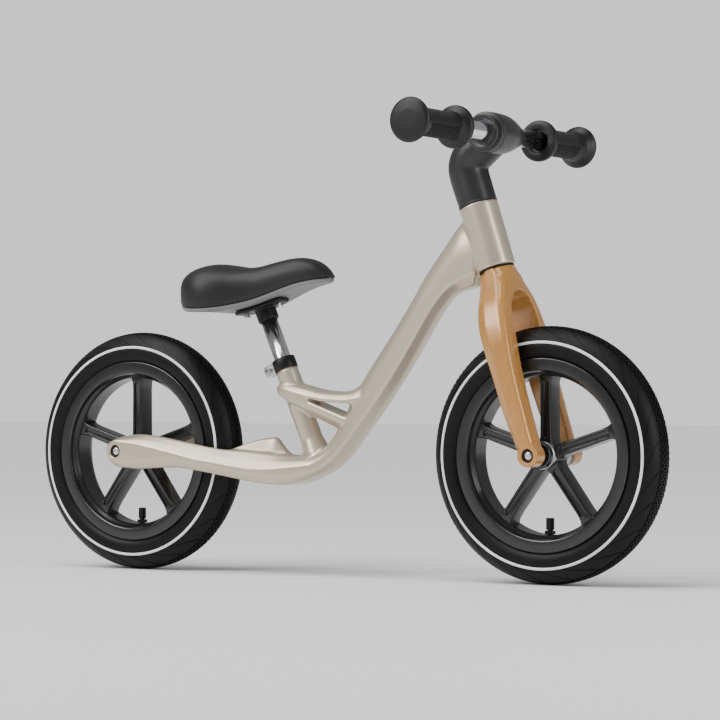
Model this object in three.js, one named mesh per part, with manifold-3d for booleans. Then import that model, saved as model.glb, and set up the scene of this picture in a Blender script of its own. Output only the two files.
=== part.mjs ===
// A child's balance bike with 12-inch wheels, in millimetres: +X forward, +Y to the rider's left, +Z up,
// the ground at z = 0 and the origin midway between the axles.
import * as THREE from "three";
import { mergeVertices } from "three/addons/utils/BufferGeometryUtils.js";
import Module from "manifold-3d";

const wasm = await Module();
wasm.setup();

const DEG = Math.PI / 180;

// ---- driving dimensions ----
const wheelbase = 597;
const tyreRadius = 152.5; // ground to axle
const tyreSection = 26; // half the width of the tyre
const rimFlangeRadius = tyreRadius - 37.9;
const rimLipRadius = rimFlangeRadius - 15.1; // where the side flange turns in
const rimWaistRadius = rimFlangeRadius - 20.6;
const rimHalfWidth = 24;
const tyreWall = 4.6;
const beadThickness = 5;
const innerTubeWall = 1.6;

const spokeCount = 5;
const spokeWidth = 14;
const spokeDepth = 24.5;
const spokeGrooveWidth = 8;
const spokeGrooveDepth = 3;
const hubRadius = 16;
const hubHalfWidth = 30;
const bearingRadius = 13; // outside of a wheel bearing
const bearingWidth = 7.6;
const axleRadius = 4.3;
const axleBoltRadius = 2.4;
const axleBoltHeadRadius = 5.3;
const axleBoltHeadHeight = 3.6;
const axleBoltLength = 15;
const counterboreRadius = 8.4;
const counterboreDepth = 6;
const valveRadius = 3.2;
const valveLength = 24;
const valveCapRadius = 5;

const steeringTilt = 18 * DEG; // head tube leaning back
const headTubeRadius = 23.4;
const headTubeLow = 233.2; // along the steering axis, from the front axle
const headTubeHigh = 313.8;
const steererRadius = 12.7;
const steererWall = 2.4;
const steererHigh = headTubeHigh + 52.2;
const headBearingRadius = headTubeRadius - 3;
const headBearingHeight = 8;
const crownRaceHeight = 1.5;

const forkOuter = 57.5; // half-widths over and between the fork legs
const forkInner = 36;
const forkEndRadius = 13.6;
const archInner = 31; // half-width of the arch under the crown
const crownDepth = 34.2; // from the head tube down to the top of the arch
const archTop = headTubeLow - crownDepth;
const crownBoltRadius = 3.8;
const crownBoltHeadRadius = 6.5;

const barForward = 51.7; // handlebar axis ahead of the steering axis
const barRise = 71.4; // and up it, from the top of the head tube
const barHigh = headTubeHigh + barRise;
const barRadius = 11;
const barWall = 2;
const barHalfLength = 203.5;
const gripLength = 110;
const gripRadius = barRadius + 5.4;
const gripEndRadius = 26.2;
const gripCollarRadius = 25.4;
const gripEndThickness = 5.2;
const stemRadius = headTubeRadius;
const stemCoreRadius = barRadius + 4.4;
const stemCoreHalfWidth = 22;
const clampCoverNear = 26.5;
const clampCoverFar = 42;
const clampCoverRadius = 24.8;
const clampRingLength = 13;

const seatTilt = 23.36 * DEG;
const seatPostRadius = 10.5;
const seatPostWall = 2;
const seatPostAbove = 76; // above the seat tube's top edge
const seatPostBelow = 74;
const seatTravelDown = 35; // how far the saddle can still go down
const seatTubeWall = 3.3;
const seatTubeLength = 116;
const seatSpigotWall = 1.3;
const seatSpigotHeight = 14;
const seatClampWall = 2;
const seatClampHeight = 15;
const seatNeckLow = 67.6;
const seatNeckRadius = seatPostRadius + 2.9;
const saddleBehind = 145; // the saddle's rear end, behind the top of the seat tube
const saddleLength = 211;
const saddleHalfWidth = 64;
const saddlePanThickness = 4.5;

const stayOuter = 60; // half-widths over and between the rear dropouts
const stayInner = 39;
const wheelSlot = 32.5; // half-width of the slot for the rear tyre
const wheelSlotNose = 10; // from the tyre to the front of the slot
const downTubeHalfWidth = 19.5;

const gap = 0.3; // between pieces that touch
const runningGap = 0.4; // between pieces that turn or slide on each other
const wheelSides = 32; // facets round the tyres and rims
const bigSides = 20; // round the head tube, the hubs and the clamp
const roundSides = 16; // round tubes, bearings and grips
const smallSides = 10; // round screws and valves

const rearX = -wheelbase / 2;
const frontX = wheelbase / 2;

// The frame's outlines below are drawn for these; the middle of the frame stretches with the
// wheelbase while its two ends keep their shape, and all of it rises with the axles.
const drawnWheelbase = 597;
const drawnAxleHeight = 152.5;
const drawnEnd = 200; // where the stretch stops, from the middle

function carry(x, z) {
  const share = Math.max(-1, Math.min(1, x / drawnEnd));
  return [x + (share * (wheelbase - drawnWheelbase)) / 2, z + tyreRadius - drawnAxleHeight];
}

const [seatTopX, seatTopZ] = carry(-74, 255);
const seatTubeTop = new THREE.Vector3(seatTopX, 0, seatTopZ);
const seatBoreRadius = seatPostRadius + runningGap;
const seatTubeRadius = seatBoreRadius + seatTubeWall;
const seatSpigotRadius = seatBoreRadius + seatSpigotWall;

// ---- solids ----

// A closed geometry as a solid, turned the right way out if its profile ran the other way.
function solid(geometry, matrix = new THREE.Matrix4()) {
  const bare = new THREE.BufferGeometry();
  bare.setAttribute("position", geometry.getAttribute("position").clone());
  if (geometry.index) bare.setIndex(geometry.index.clone());
  bare.applyMatrix4(matrix);
  const merged = mergeVertices(bare, 1e-4);
  const index = [];
  const source = merged.index.array;
  for (let i = 0; i < source.length; i += 3) {
    const [a, b, c] = [source[i], source[i + 1], source[i + 2]];
    if (a !== b && b !== c && a !== c) index.push(a, b, c);
  }
  const made = (order) =>
    new wasm.Manifold(
      new wasm.Mesh({
        numProp: 3,
        vertProperties: new Float32Array(merged.attributes.position.array),
        triVerts: new Uint32Array(order),
      }),
    );
  const first = made(index);
  if (first.volume() > 0) return first;
  const turned = [];
  for (let i = 0; i < index.length; i += 3) turned.push(index[i], index[i + 2], index[i + 1]);
  return made(turned);
}

const union = (...solids) => solids.reduce((a, b) => a.add(b));
const cut = (body, ...tools) => tools.reduce((a, b) => a.subtract(b), body);

function geometryOf(made) {
  const mesh = made.getMesh();
  const positions = new Float32Array(mesh.numVert * 3);
  for (let i = 0; i < mesh.numVert; i++) {
    positions.set(mesh.vertProperties.subarray(i * mesh.numProp, i * mesh.numProp + 3), i * 3);
  }
  return new THREE.BufferGeometry()
    .setAttribute("position", new THREE.BufferAttribute(positions, 3))
    .setIndex(new THREE.BufferAttribute(mesh.triVerts, 1));
}

const alongZ = new THREE.Matrix4().makeRotationX(Math.PI / 2); // turns +Y to +Z

// A solid of revolution about Y from a closed or axis-to-axis profile of [radius, y].
function turned(profile, sides = roundSides) {
  const points = profile.map(([r, y]) => new THREE.Vector2(r, y));
  const open = points[0].x > 0 || points[points.length - 1].x > 0;
  if (open) points.push(points[0].clone());
  return solid(new THREE.LatheGeometry(points, sides));
}

// The same about +Z, from [radius, z].
const turnedUp = (profile, sides) => turned(profile, sides).transform([...alongZ.elements]);

function rod(radius, low, high, sides) {
  return turned([[0, low], [radius, low], [radius, high], [0, high]], sides);
}

function rodUp(radius, low, high, sides) {
  return rod(radius, low, high, sides).transform([...alongZ.elements]);
}

function sleeve(outer, inner, low, high, sides) {
  return turned([[inner, low], [outer, low], [outer, high], [inner, high]], sides);
}

const sleeveUp = (outer, inner, low, high, sides) =>
  sleeve(outer, inner, low, high, sides).transform([...alongZ.elements]);

function block(low, high) {
  const size = high.map((v, i) => v - low[i]);
  const middle = high.map((v, i) => (v + low[i]) / 2);
  return solid(
    new THREE.BoxGeometry(...size),
    new THREE.Matrix4().makeTranslation(...middle),
  );
}

// A loft through rings of equal point counts; each ring is a list of Vector3.
function loft(rings) {
  const count = rings[0].length;
  const positions = [];
  const index = [];
  for (const ring of rings) for (const p of ring) positions.push(p.x, p.y, p.z);
  for (let r = 0; r + 1 < rings.length; r++) {
    for (let i = 0; i < count; i++) {
      const j = (i + 1) % count;
      const [a, b, c, d] = [r * count + i, r * count + j, (r + 1) * count + i, (r + 1) * count + j];
      index.push(a, b, d, a, d, c);
    }
  }
  for (const end of [0, rings.length - 1]) {
    const middle = new THREE.Vector3();
    for (const p of rings[end]) middle.addScaledVector(p, 1 / count);
    const centre = positions.length / 3;
    positions.push(middle.x, middle.y, middle.z);
    for (let i = 0; i < count; i++) {
      const [a, b] = [end * count + i, end * count + ((i + 1) % count)];
      if (end === 0) index.push(centre, b, a);
      else index.push(centre, a, b);
    }
  }
  const geometry = new THREE.BufferGeometry();
  geometry.setAttribute("position", new THREE.Float32BufferAttribute(positions, 3));
  geometry.setIndex(index);
  return solid(geometry);
}

// An outline in the XZ plane, pushed through Y from low to high.
function plate(outline, low, high) {
  const shape = new THREE.Shape(outline.map(([x, z]) => new THREE.Vector2(x, z)));
  const geometry = new THREE.ExtrudeGeometry(shape, { depth: high - low, bevelEnabled: false });
  // extruded along +Z: turn the shape's Y up and its depth to -Y
  const turn = new THREE.Matrix4().makeRotationX(Math.PI / 2);
  const shift = new THREE.Matrix4().makeTranslation(0, high, 0);
  return solid(geometry, shift.multiply(turn));
}

const mirrored = (made) => made.transform([1, 0, 0, 0, 0, -1, 0, 0, 0, 0, 1, 0, 0, 0, 0, 1]);
const placed = (made, matrix) => made.transform([...matrix.elements]);

// ---- local frames ----
const steeringFrame = new THREE.Matrix4()
  .makeRotationY(-steeringTilt)
  .setPosition(frontX, 0, tyreRadius);
const seatTurn = new THREE.Matrix4().makeRotationY(-seatTilt);
const seatFrame = seatTurn.clone().setPosition(seatTubeTop);

// ---- materials ----
const finish = (color, roughness, metalness) =>
  new THREE.MeshStandardMaterial({ color, roughness, metalness });
const champagne = finish(0xd2c9bb, 0.34, 0.55);
const amber = finish(0xc9995c, 0.3, 0.1);
const blackPlastic = finish(0x242528, 0.42, 0);
const greyPlastic = finish(0x3d3e42, 0.4, 0);
const rubber = finish(0x17181a, 0.72, 0);
const saddleFoam = finish(0x3a3b3d, 0.6, 0);
const panPlastic = finish(0x8a8b8d, 0.6, 0);
const chrome = finish(0xc9cacc, 0.12, 1);
const steel = finish(0x9da0a4, 0.32, 1);
const alloy = finish(0xb9babd, 0.35, 0.9);

const bike = new THREE.Group();

function add(group, name, made, material) {
  const mesh = new THREE.Mesh(geometryOf(made), material);
  mesh.name = name;
  group.add(mesh);
  return mesh;
}

// ---- main frame ----

// Sections of the down tube and the elbow: back ridge, front face, how much wider each side is than
// the down tube's own half-width, and half-width of the front face. The tube runs from the head
// tube down and back into the elbow over the ground.
const tubeStations = [
  [205, 441, 208, 356, 0.5, 9],
  [181, 431, 190, 350.5, 1, 8],
  [157, 402, 177, 347, 0.5, 6],
  [133, 371.5, 164.5, 339, 0, 5],
  [115, 344, 148, 320, 0, 5],
  [96, 316.5, 130, 293, 0, 5],
  [74, 286.5, 108, 260, 0, 5],
  [52, 257.5, 87, 230.5, 0, 5],
  [33, 229, 64, 201.5, 0.5, 6],
  [18, 203, 40, 174.5, 1, 7],
  [8, 185, 26, 158.5, 1.5, 8],
  [-2, 170.5, 10, 142.5, 2.5, 10],
  [-14, 159.5, -9, 129.5, 4, 12],
  [-29, 152, -30, 121, 6, 15],
  [-46, 149, -48, 115.3, 9, 18],
  [-64, 148.5, -67, 112.2, 12.5, 21],
];

function tubeRing([ridgeX, ridgeZ, faceX, faceZ, overWidth, faceHalf]) {
  const crown = 0.6; // share of the depth taken by the round back
  const shoulder = 0.85; // where the side turns in to the front face
  const width = downTubeHalfWidth + overWidth;
  const [backX, backZ] = carry(ridgeX, ridgeZ);
  const [lowX, lowZ] = carry(faceX, faceZ);
  const half = [20, 44, 68].map((a) => [
    crown * (1 - Math.cos(a * DEG)),
    0.985 * width * Math.sin(a * DEG),
  ]);
  half.push([crown, 0.985 * width], [shoulder, width], [1, faceHalf]);
  const at = ([u, y]) => new THREE.Vector3(backX + u * (lowX - backX), y, backZ + u * (lowZ - backZ));
  return [
    at([0, 0]),
    ...half.map(at),
    ...half.map(([u, y]) => at([u, -y])).reverse(),
  ];
}

// A ring at x from the left half of its outline, a list of [y, z].
function bothSides(half, drawnX) {
  const at = ([y, z]) => {
    const [x, height] = carry(drawnX, z);
    return new THREE.Vector3(x, y, height);
  };
  return [...half.map(at), ...half.map(([y, z]) => at([-y, z])).reverse()];
}

// Sections of the chainstay pair, one solid over both sides before the wheel slot is cut:
// x, how far inside the dropouts' outer faces, top of the inner edge, top and bottom of the outer
// face, underside.
const stayStations = [
  [-30, 34.5, 150, 137, 131, 121],
  [-60, 28, 148.5, 134, 121.5, 112.5],
  [-90, 21.5, 151, 131.5, 123.5, 113.5],
  [-120, 16, 154, 134, 127.5, 118],
  [-150, 11.5, 156, 139.5, 133, 123.5],
  [-180, 8, 160.5, 144, 137.5, 128.5],
  [-210, 5, 166, 151, 141, 132.5],
  [-240, 2.5, 171, 157.5, 140.5, 131.5],
  [-270, 1, 174, 163.5, 138, 130.3],
  [-298.5, 0, 170.5, 166.5, 138.5, 132.5],
  [-311, 0, 164, 160.5, 145, 140],
];

function stayRing([drawnX, inset, innerTop, outerTop, outerLow, low]) {
  const y = stayOuter - inset;
  const half = [
    [y - 15, innerTop],
    [y - 5, innerTop + (outerTop - innerTop) * 0.55],
    [y, outerTop],
    [y, outerLow],
    [y - 7, low],
  ];
  return bothSides(half, drawnX);
}

// The fin that rises between the stays ahead of the tyre: x, top, half-width at the top, at the foot.
const finStations = [
  [-142, 157, 27, 45],
  [-126, 163.5, 19, 41],
  [-110, 168.5, 12, 36],
  [-96, 170.5, 7, 31],
  [-88, 170.5, 5.6, 26],
  [-80, 161.5, 5.6, 22],
  [-71, 152.5, 6, 18],
  [-60, 148, 8, 15],
];

function finRing([drawnX, top, topHalf, footHalf]) {
  const foot = 134;
  const half = [
    [topHalf * 0.55, top],
    [topHalf, top - 1.5],
    [topHalf + (footHalf - topHalf) * 0.28, foot + (top - foot) * 0.55],
    [footHalf, foot + 8],
    [footHalf, foot],
  ];
  return bothSides(half, drawnX);
}

// The bridge from the seat tube to the down tube: x, ridge, top and bottom of the side, underside
// ridge, half-width.
const bridgeStations = [
  [-84, 235, 233.5, 229, 227, 9],
  [-76, 238.5, 234.5, 224, 221.5, 16],
  [-62, 240, 231.5, 217.5, 212, 19],
  [-45, 238, 226.5, 211.5, 204, 19],
  [-20, 232, 221, 203.5, 193.5, 19],
  [5, 229.5, 218.8, 194.5, 183, 19],
  [28, 231.5, 218.5, 186, 173, 19],
  [48, 246, 222, 196, 188, 18],
];

function bridgeRing([drawnX, ridge, sideTop, sideLow, keel, halfWidth]) {
  const half = [
    [halfWidth * 0.35, ridge - (ridge - sideTop) * 0.1],
    [halfWidth * 0.8, ridge - (ridge - sideTop) * 0.5],
    [halfWidth, sideTop],
    [halfWidth, sideLow],
    [halfWidth * 0.45, keel],
  ];
  return bothSides(half, drawnX);
}

const bridgeSlot = [
  [-34, 220.2],
  [-14, 215.8],
  [31, 213],
  [34, 208.5],
  [29.5, 198.5],
  [23.5, 196.4],
  [-34, 217.2],
];

// The slot that the rear wheel turns in, seen from above, with a round nose ahead of the tyre.
function wheelSlotSolid() {
  const noseX = rearX + tyreRadius + wheelSlotNose;
  const outline = [[rearX - 40, -stayInner], [rearX + 10, -stayInner], [noseX - 60, -wheelSlot]];
  const shape = new THREE.Shape(outline.map(([x, y]) => new THREE.Vector2(x, y)));
  const noseLength = 24;
  for (let a = -80; a <= 80; a += 20) {
    shape.lineTo(
      noseX - noseLength * (1 - Math.cos(a * DEG)),
      wheelSlot * Math.sin(a * DEG) * 0.99,
    );
  }
  for (const [x, y] of [...outline].reverse()) shape.lineTo(x, -y);
  const high = tyreRadius + 60;
  const low = tyreRadius - 60;
  return solid(
    new THREE.ExtrudeGeometry(shape, { depth: high - low, bevelEnabled: false }),
    new THREE.Matrix4().makeTranslation(0, 0, low),
  );
}

// Room for the fork crown as it turns under the head tube.
function crownRoom() {
  return turnedUp(
    [
      [0, headTubeLow - 83],
      [forkOuter - 7.5, headTubeLow - 83],
      [forkOuter - 12, headTubeLow - 43],
      [headTubeRadius + 14, headTubeLow - 21],
      [headTubeRadius + 1, headTubeLow],
      [0, headTubeLow],
    ],
    bigSides,
  );
}

function dropoutBores(outer, inner) {
  const floor = outer - counterboreDepth;
  return union(
    rod(axleRadius + gap, inner - 12, floor + 1, roundSides),
    rod(counterboreRadius, floor, outer + 12, bigSides),
  );
}

const atRearAxle = new THREE.Matrix4().makeTranslation(rearX, 0, tyreRadius);
const atFrontAxle = new THREE.Matrix4().makeTranslation(frontX, 0, tyreRadius);

function mainFrame() {
  const headTube = placed(rodUp(headTubeRadius, headTubeLow, headTubeHigh, bigSides), steeringFrame);
  const seatTube = placed(
    union(
      rodUp(seatTubeRadius, -seatTubeLength, 0, roundSides),
      rodUp(seatSpigotRadius, -5, seatSpigotHeight, roundSides),
      turnedUp([
        [0, -seatTubeLength],
        [seatTubeRadius + 4, -seatTubeLength],
        [seatTubeRadius, -seatTubeLength + 20],
        [0, -seatTubeLength + 20],
      ]),
    ),
    seatFrame,
  );
  const tube = loft(tubeStations.map(tubeRing));
  const stays = loft(stayStations.map(stayRing));
  const fin = loft(finStations.map(finRing));
  const bridge = loft(bridgeStations.map(bridgeRing));
  const endPad = placed(rod(counterboreRadius + 4.7, stayInner, stayOuter, bigSides), atRearAxle);
  const slot = plate(bridgeSlot.map(([x, z]) => carry(x, z)), -forkOuter, forkOuter);
  const body = union(tube, stays, fin, cut(bridge, slot), seatTube);
  const slotted = union(cut(body, wheelSlotSolid()), endPad, mirrored(endPad));
  const opened = cut(slotted, placed(crownRoom(), steeringFrame));
  const bores = placed(dropoutBores(stayOuter, stayInner), atRearAxle);
  const pocket = headBearingRadius + gap;
  const headBore = placed(
    union(
      rodUp(steererRadius + 2.3, headTubeLow - 30, headTubeHigh + 10, bigSides),
      rodUp(pocket, headTubeLow - 20, headTubeLow + headBearingHeight + gap, bigSides),
      rodUp(pocket, headTubeHigh - headBearingHeight - gap, headTubeHigh + 5, bigSides),
    ),
    steeringFrame,
  );
  const seatBore = placed(
    union(
      rodUp(seatBoreRadius, -seatPostBelow - seatTravelDown - 4, seatSpigotHeight + 5, roundSides),
      block([-seatTubeRadius, -1, 1], [-seatPostRadius + 3, 1, seatSpigotHeight + 5]),
    ),
    seatFrame,
  );
  return cut(union(opened, headTube), bores, mirrored(bores), headBore, seatBore);
}

add(bike, "main_frame", mainFrame(), champagne);

// ---- headset, on the steering axis ----
const headGroup = new THREE.Group();
headGroup.applyMatrix4(steeringFrame);
bike.add(headGroup);

const lowerBearingLow = headTubeLow + 0.2;
const upperBearingHigh = headTubeHigh - 0.2;
const headBearing = (low) =>
  sleeveUp(headBearingRadius, steererRadius + runningGap, low, low + headBearingHeight - 0.2, bigSides);
add(headGroup, "lower_head_bearing", headBearing(lowerBearingLow), steel);
add(headGroup, "upper_head_bearing", headBearing(upperBearingHigh - headBearingHeight + 0.2), steel);

// ---- fork, on the steering axis ----
const crownTop = headTubeLow - 2 * gap - crownRaceHeight;

// Down the fork: height, half-width over the legs, how far it reaches to the front and to the
// rear at the middle and at the sides.
const forkStations = [
  [-4, forkOuter, 11.5, 12.5, 11.5, 12.5],
  [20, forkOuter, 11.8, 12.8, 11.8, 12.8],
  [60, forkOuter, 12.6, 14.6, 12.6, 14.6],
  [headTubeLow - 128, forkOuter - 0.3, 13.6, 16, 13.6, 16],
  [headTubeLow - 98, forkOuter - 3, 15.5, 17.8, 15.5, 17.8],
  [headTubeLow - 73, forkOuter - 8, 17.5, 18.5, 16.5, 18],
  [headTubeLow - 53, forkOuter - 13, 20, 19, 17, 17.5],
  [headTubeLow - 38, forkOuter - 18.5, 22, 19.5, 17, 16.5],
  [headTubeLow - 23, forkOuter - 25.5, 22.8, 20.5, 16.5, 16],
  [headTubeLow - 12, forkOuter - 30.5, 22.8, 21.8, 15.5, 15.5],
  [crownTop, headTubeRadius - 1, headTubeRadius - 1, headTubeRadius - 1, 8.5, 8.5],
];

function forkRing([height, outer, frontMiddle, rearMiddle, frontSide, rearSide]) {
  const half = [
    [0.42 * outer, frontMiddle + (frontSide - frontMiddle) * 0.22],
    [0.8 * outer, frontMiddle + (frontSide - frontMiddle) * 0.75],
    [outer - 3, frontSide - 2],
    [outer, frontSide * 0.62],
    [outer, -rearSide * 0.45],
    [outer - 6, -rearSide],
    [0.45 * outer, -rearMiddle + (rearMiddle - rearSide) * 0.22],
  ];
  const at = ([y, x]) => new THREE.Vector3(x, y, height);
  return [
    at([0, frontMiddle]),
    ...half.map(at),
    at([0, -rearMiddle]),
    ...half.map(([y, x]) => at([-y, x])).reverse(),
  ];
}

// The opening between the legs, arched under the crown, pushed through from front to back.
function forkArch() {
  const shape = new THREE.Shape();
  const spring = archTop - archInner - 6; // where the arch starts
  shape.moveTo(-forkInner, -40);
  shape.lineTo(forkInner, -40);
  shape.lineTo(forkInner, 60);
  shape.lineTo(archInner + 1.5, spring - 30);
  for (let a = 0; a <= 180; a += 15) {
    shape.lineTo(archInner * Math.cos(a * DEG), spring + (archTop - spring) * Math.sin(a * DEG));
  }
  shape.lineTo(-archInner - 1.5, spring - 30);
  shape.lineTo(-forkInner, 60);
  const reach = 60;
  const basis = new THREE.Matrix4().makeBasis(
    new THREE.Vector3(0, 1, 0),
    new THREE.Vector3(0, 0, 1),
    new THREE.Vector3(1, 0, 0),
  );
  const geometry = new THREE.ExtrudeGeometry(shape, { depth: 2 * reach, bevelEnabled: false });
  return solid(geometry, basis.setPosition(-reach, 0, 0));
}

function fork() {
  const legEnd = rod(forkEndRadius, forkInner, forkOuter, bigSides);
  const legs = cut(loft(forkStations.map(forkRing)), forkArch());
  const bores = dropoutBores(forkOuter, forkInner);
  const steerer = rodUp(steererRadius, crownTop - 4, steererHigh, roundSides);
  const hollow = rodUp(steererRadius - steererWall, crownTop - 8, steererHigh + 4, roundSides);
  const boltHole = union(
    rodUp(crownBoltRadius + gap, archTop - 12, crownTop, smallSides),
    rodUp(crownBoltHeadRadius + gap, archTop - 12, archTop + 7, roundSides),
  );
  return cut(union(legs, legEnd, mirrored(legEnd), steerer), bores, mirrored(bores), hollow, boltHole);
}

const steering = new THREE.Group();
steering.applyMatrix4(steeringFrame);
bike.add(steering);
add(steering, "fork", fork(), amber);
add(
  steering,
  "crown_race",
  sleeveUp(headTubeRadius - 1.8, steererRadius + gap, crownTop + gap, crownTop + gap + crownRaceHeight, bigSides),
  rubber,
);
add(
  steering,
  "crown_bolt",
  union(
    rodUp(crownBoltHeadRadius, archTop + 0.8, archTop + 7 - gap, roundSides),
    rodUp(crownBoltRadius, archTop + 5, steererHigh - 12, smallSides),
  ),
  steel,
);

// ---- stem ----
const stemLow = headTubeHigh + 0.6;

// The neck's centre line, from the head tube up and forward to the handlebar, with its radius.
const neckStations = [
  [0, stemLow, 0, stemRadius],
  [-0.5, stemLow + 22, 0, stemRadius + 0.4],
  [-0.5, stemLow + 40, 5, stemRadius + 0.6],
  [4, stemLow + 53, 30, stemRadius + 0.2],
  [14, stemLow + 62, 55, stemRadius - 0.8],
  [28, stemLow + 67.5, 72, stemRadius - 2.4],
  [barForward - 6, barHigh - 2, 84, stemRadius - 4],
];

function neck(extra) {
  const rings = neckStations.map(([x, z, lean, radius]) => {
    const ring = [];
    const across = new THREE.Vector3(Math.cos(lean * DEG), 0, -Math.sin(lean * DEG));
    for (let i = 0; i < roundSides; i++) {
      const a = (i / roundSides) * 2 * Math.PI;
      ring.push(
        new THREE.Vector3(x, 0, z)
          .addScaledVector(across, (radius + extra) * Math.cos(a))
          .add(new THREE.Vector3(0, (radius + extra) * Math.sin(a), 0)),
      );
    }
    return ring;
  });
  return loft(rings);
}

const atBar = new THREE.Matrix4().makeTranslation(barForward, 0, barHigh);

function stem() {
  const core = placed(rod(stemCoreRadius, -stemCoreHalfWidth, stemCoreHalfWidth, bigSides), atBar);
  const beyond = placed(block([0, -60, -60], [60, 60, 60]), atBar);
  const barBore = placed(rod(barRadius + gap, -60, 60, bigSides), atBar);
  const steererBore = rodUp(steererRadius + gap, stemLow - 5, steererHigh + 1, roundSides);
  const bolt = rodUp(crownBoltRadius + gap, steererHigh - 20, steererHigh - 6, smallSides);
  return cut(union(cut(neck(0), beyond), core), barBore, steererBore, bolt);
}
add(steering, "stem", stem(), greyPlastic);

// ---- handlebar ----
const bar = new THREE.Group();
bar.position.set(barForward, 0, barHigh);
steering.add(bar);

add(bar, "handlebar", sleeve(barRadius, barRadius - barWall, -barHalfLength, barHalfLength, roundSides), chrome);

// A turned ring on the right of the clamp and a bell-shaped cover over the rest of it.
const ringLow = -clampCoverNear - gap - clampRingLength;
add(
  bar,
  "bar_clamp_ring",
  turned(
    [
      [barRadius + gap, ringLow],
      [clampCoverRadius - 4.4, ringLow],
      [clampCoverRadius - 3.5, ringLow + 0.9],
      [clampCoverRadius - 3.5, ringLow + 5],
      [clampCoverRadius - 0.8, ringLow + 6.5],
      [clampCoverRadius - 0.8, ringLow + clampRingLength - 1.5],
      [clampCoverRadius - 2, ringLow + clampRingLength],
      [barRadius + gap, ringLow + clampRingLength],
    ],
    bigSides,
  ),
  blackPlastic,
);

const coverScrewRadius = 2.2;
const coverScrewAt = 6; // to the left of the middle
const coverScrewSeat = clampCoverRadius - 4.3;

function barClampCover() {
  const r = clampCoverRadius;
  const shell = turned(
    [
      [barRadius + gap, -clampCoverNear],
      [r - 0.8, -clampCoverNear],
      [r, -14],
      [r - 0.6, 2],
      [r - 3.6, 18],
      [r - 8.6, 33],
      [barRadius + 1.6, clampCoverFar],
      [barRadius + gap, clampCoverFar],
    ],
    bigSides,
  );
  const core = rod(stemCoreRadius + gap, -stemCoreHalfWidth - gap, stemCoreHalfWidth + gap, bigSides);
  const back = placed(neck(gap), new THREE.Matrix4().makeTranslation(-barForward, 0, -barHigh));
  const screwHole = placed(
    union(
      rodUp(coverScrewRadius + gap, 0, 40, smallSides),
      rodUp(2 * coverScrewRadius + gap, coverScrewSeat, 40, smallSides),
    ),
    new THREE.Matrix4().makeTranslation(0, coverScrewAt, 0),
  );
  return cut(shell, core, back, screwHole);
}
add(bar, "bar_clamp_cover", barClampCover(), greyPlastic);
add(
  bar,
  "bar_clamp_screw",
  placed(
    union(
      rodUp(2 * coverScrewRadius, coverScrewSeat + gap, coverScrewSeat + 2.9, smallSides),
      rodUp(coverScrewRadius, stemCoreRadius + gap, coverScrewSeat + 1, smallSides),
    ),
    new THREE.Matrix4().makeTranslation(0, coverScrewAt, 0),
  ),
  steel,
);

// Right-hand grip; its mirror image is the left one.
function grip() {
  const end = barHalfLength + gap;
  const outside = barHalfLength + gripEndThickness;
  const inside = barHalfLength - gripLength + gripEndThickness;
  return turned([
    [0, -outside],
    [gripEndRadius - 4, -outside + 1.2],
    [gripEndRadius, -outside + 4],
    [gripRadius, -outside + 16],
    [gripRadius, -inside - 11],
    [gripCollarRadius, -inside - 6],
    [gripCollarRadius, -inside - 2],
    [gripCollarRadius - 1.6, -inside],
    [barRadius + 3.4, -inside],
    [barRadius + 3.4, -inside - 3],
    [barRadius + gap, -inside - 3],
    [barRadius + gap, -end],
    [0, -end],
  ]);
}
add(bar, "grip_right", grip(), rubber);
add(bar, "grip_left", mirrored(grip()), rubber);

// ---- wheels ----

function tyre() {
  const middle = tyreRadius - tyreSection;
  const bead = rimFlangeRadius - 8;
  const beadOut = rimHalfWidth - 3 - gap;
  const outside = [[tyreRadius, 0]];
  for (const a of [26, 56, 90]) {
    outside.push([middle + tyreSection * Math.cos(a * DEG), tyreSection * Math.sin(a * DEG)]);
  }
  outside.push([rimFlangeRadius + 8, tyreSection - 0.8]);
  outside.push([rimFlangeRadius + 0.6, beadOut]);
  outside.push([bead, beadOut]);
  const inside = [[bead, beadOut - beadThickness]];
  const cavity = tyreSection - tyreWall;
  for (const a of [105, 60, 18]) {
    inside.push([middle + cavity * Math.cos(a * DEG), cavity * Math.sin(a * DEG)]);
  }
  const half = [...outside, ...inside];
  const profile = [...half, ...half.slice(1).map(([r, y]) => [r, -y]).reverse()];
  return turned(profile, wheelSides);
}

// The inflated inner tube lies in the tyre, over the bed of the rim, open at the valve's foot.
function innerTube() {
  const middle = tyreRadius - tyreSection;
  const radius = tyreSection - tyreWall - 3.4;
  const ring = (r) => {
    const points = [];
    for (let a = 0; a < 360; a += 45) points.push([middle + r * Math.cos(a * DEG), r * Math.sin(a * DEG)]);
    return turned(points, bigSides);
  };
  const mouth = rodUp(valveRadius - 1, -middle, radius - middle + 5, smallSides);
  return cut(ring(radius), ring(radius - innerTubeWall), mouth);
}

const rimBed = rimFlangeRadius - 8 - gap - 0.7;
const valveTop = rimBed + gap; // the valve's foot, on the bed of the rim

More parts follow.
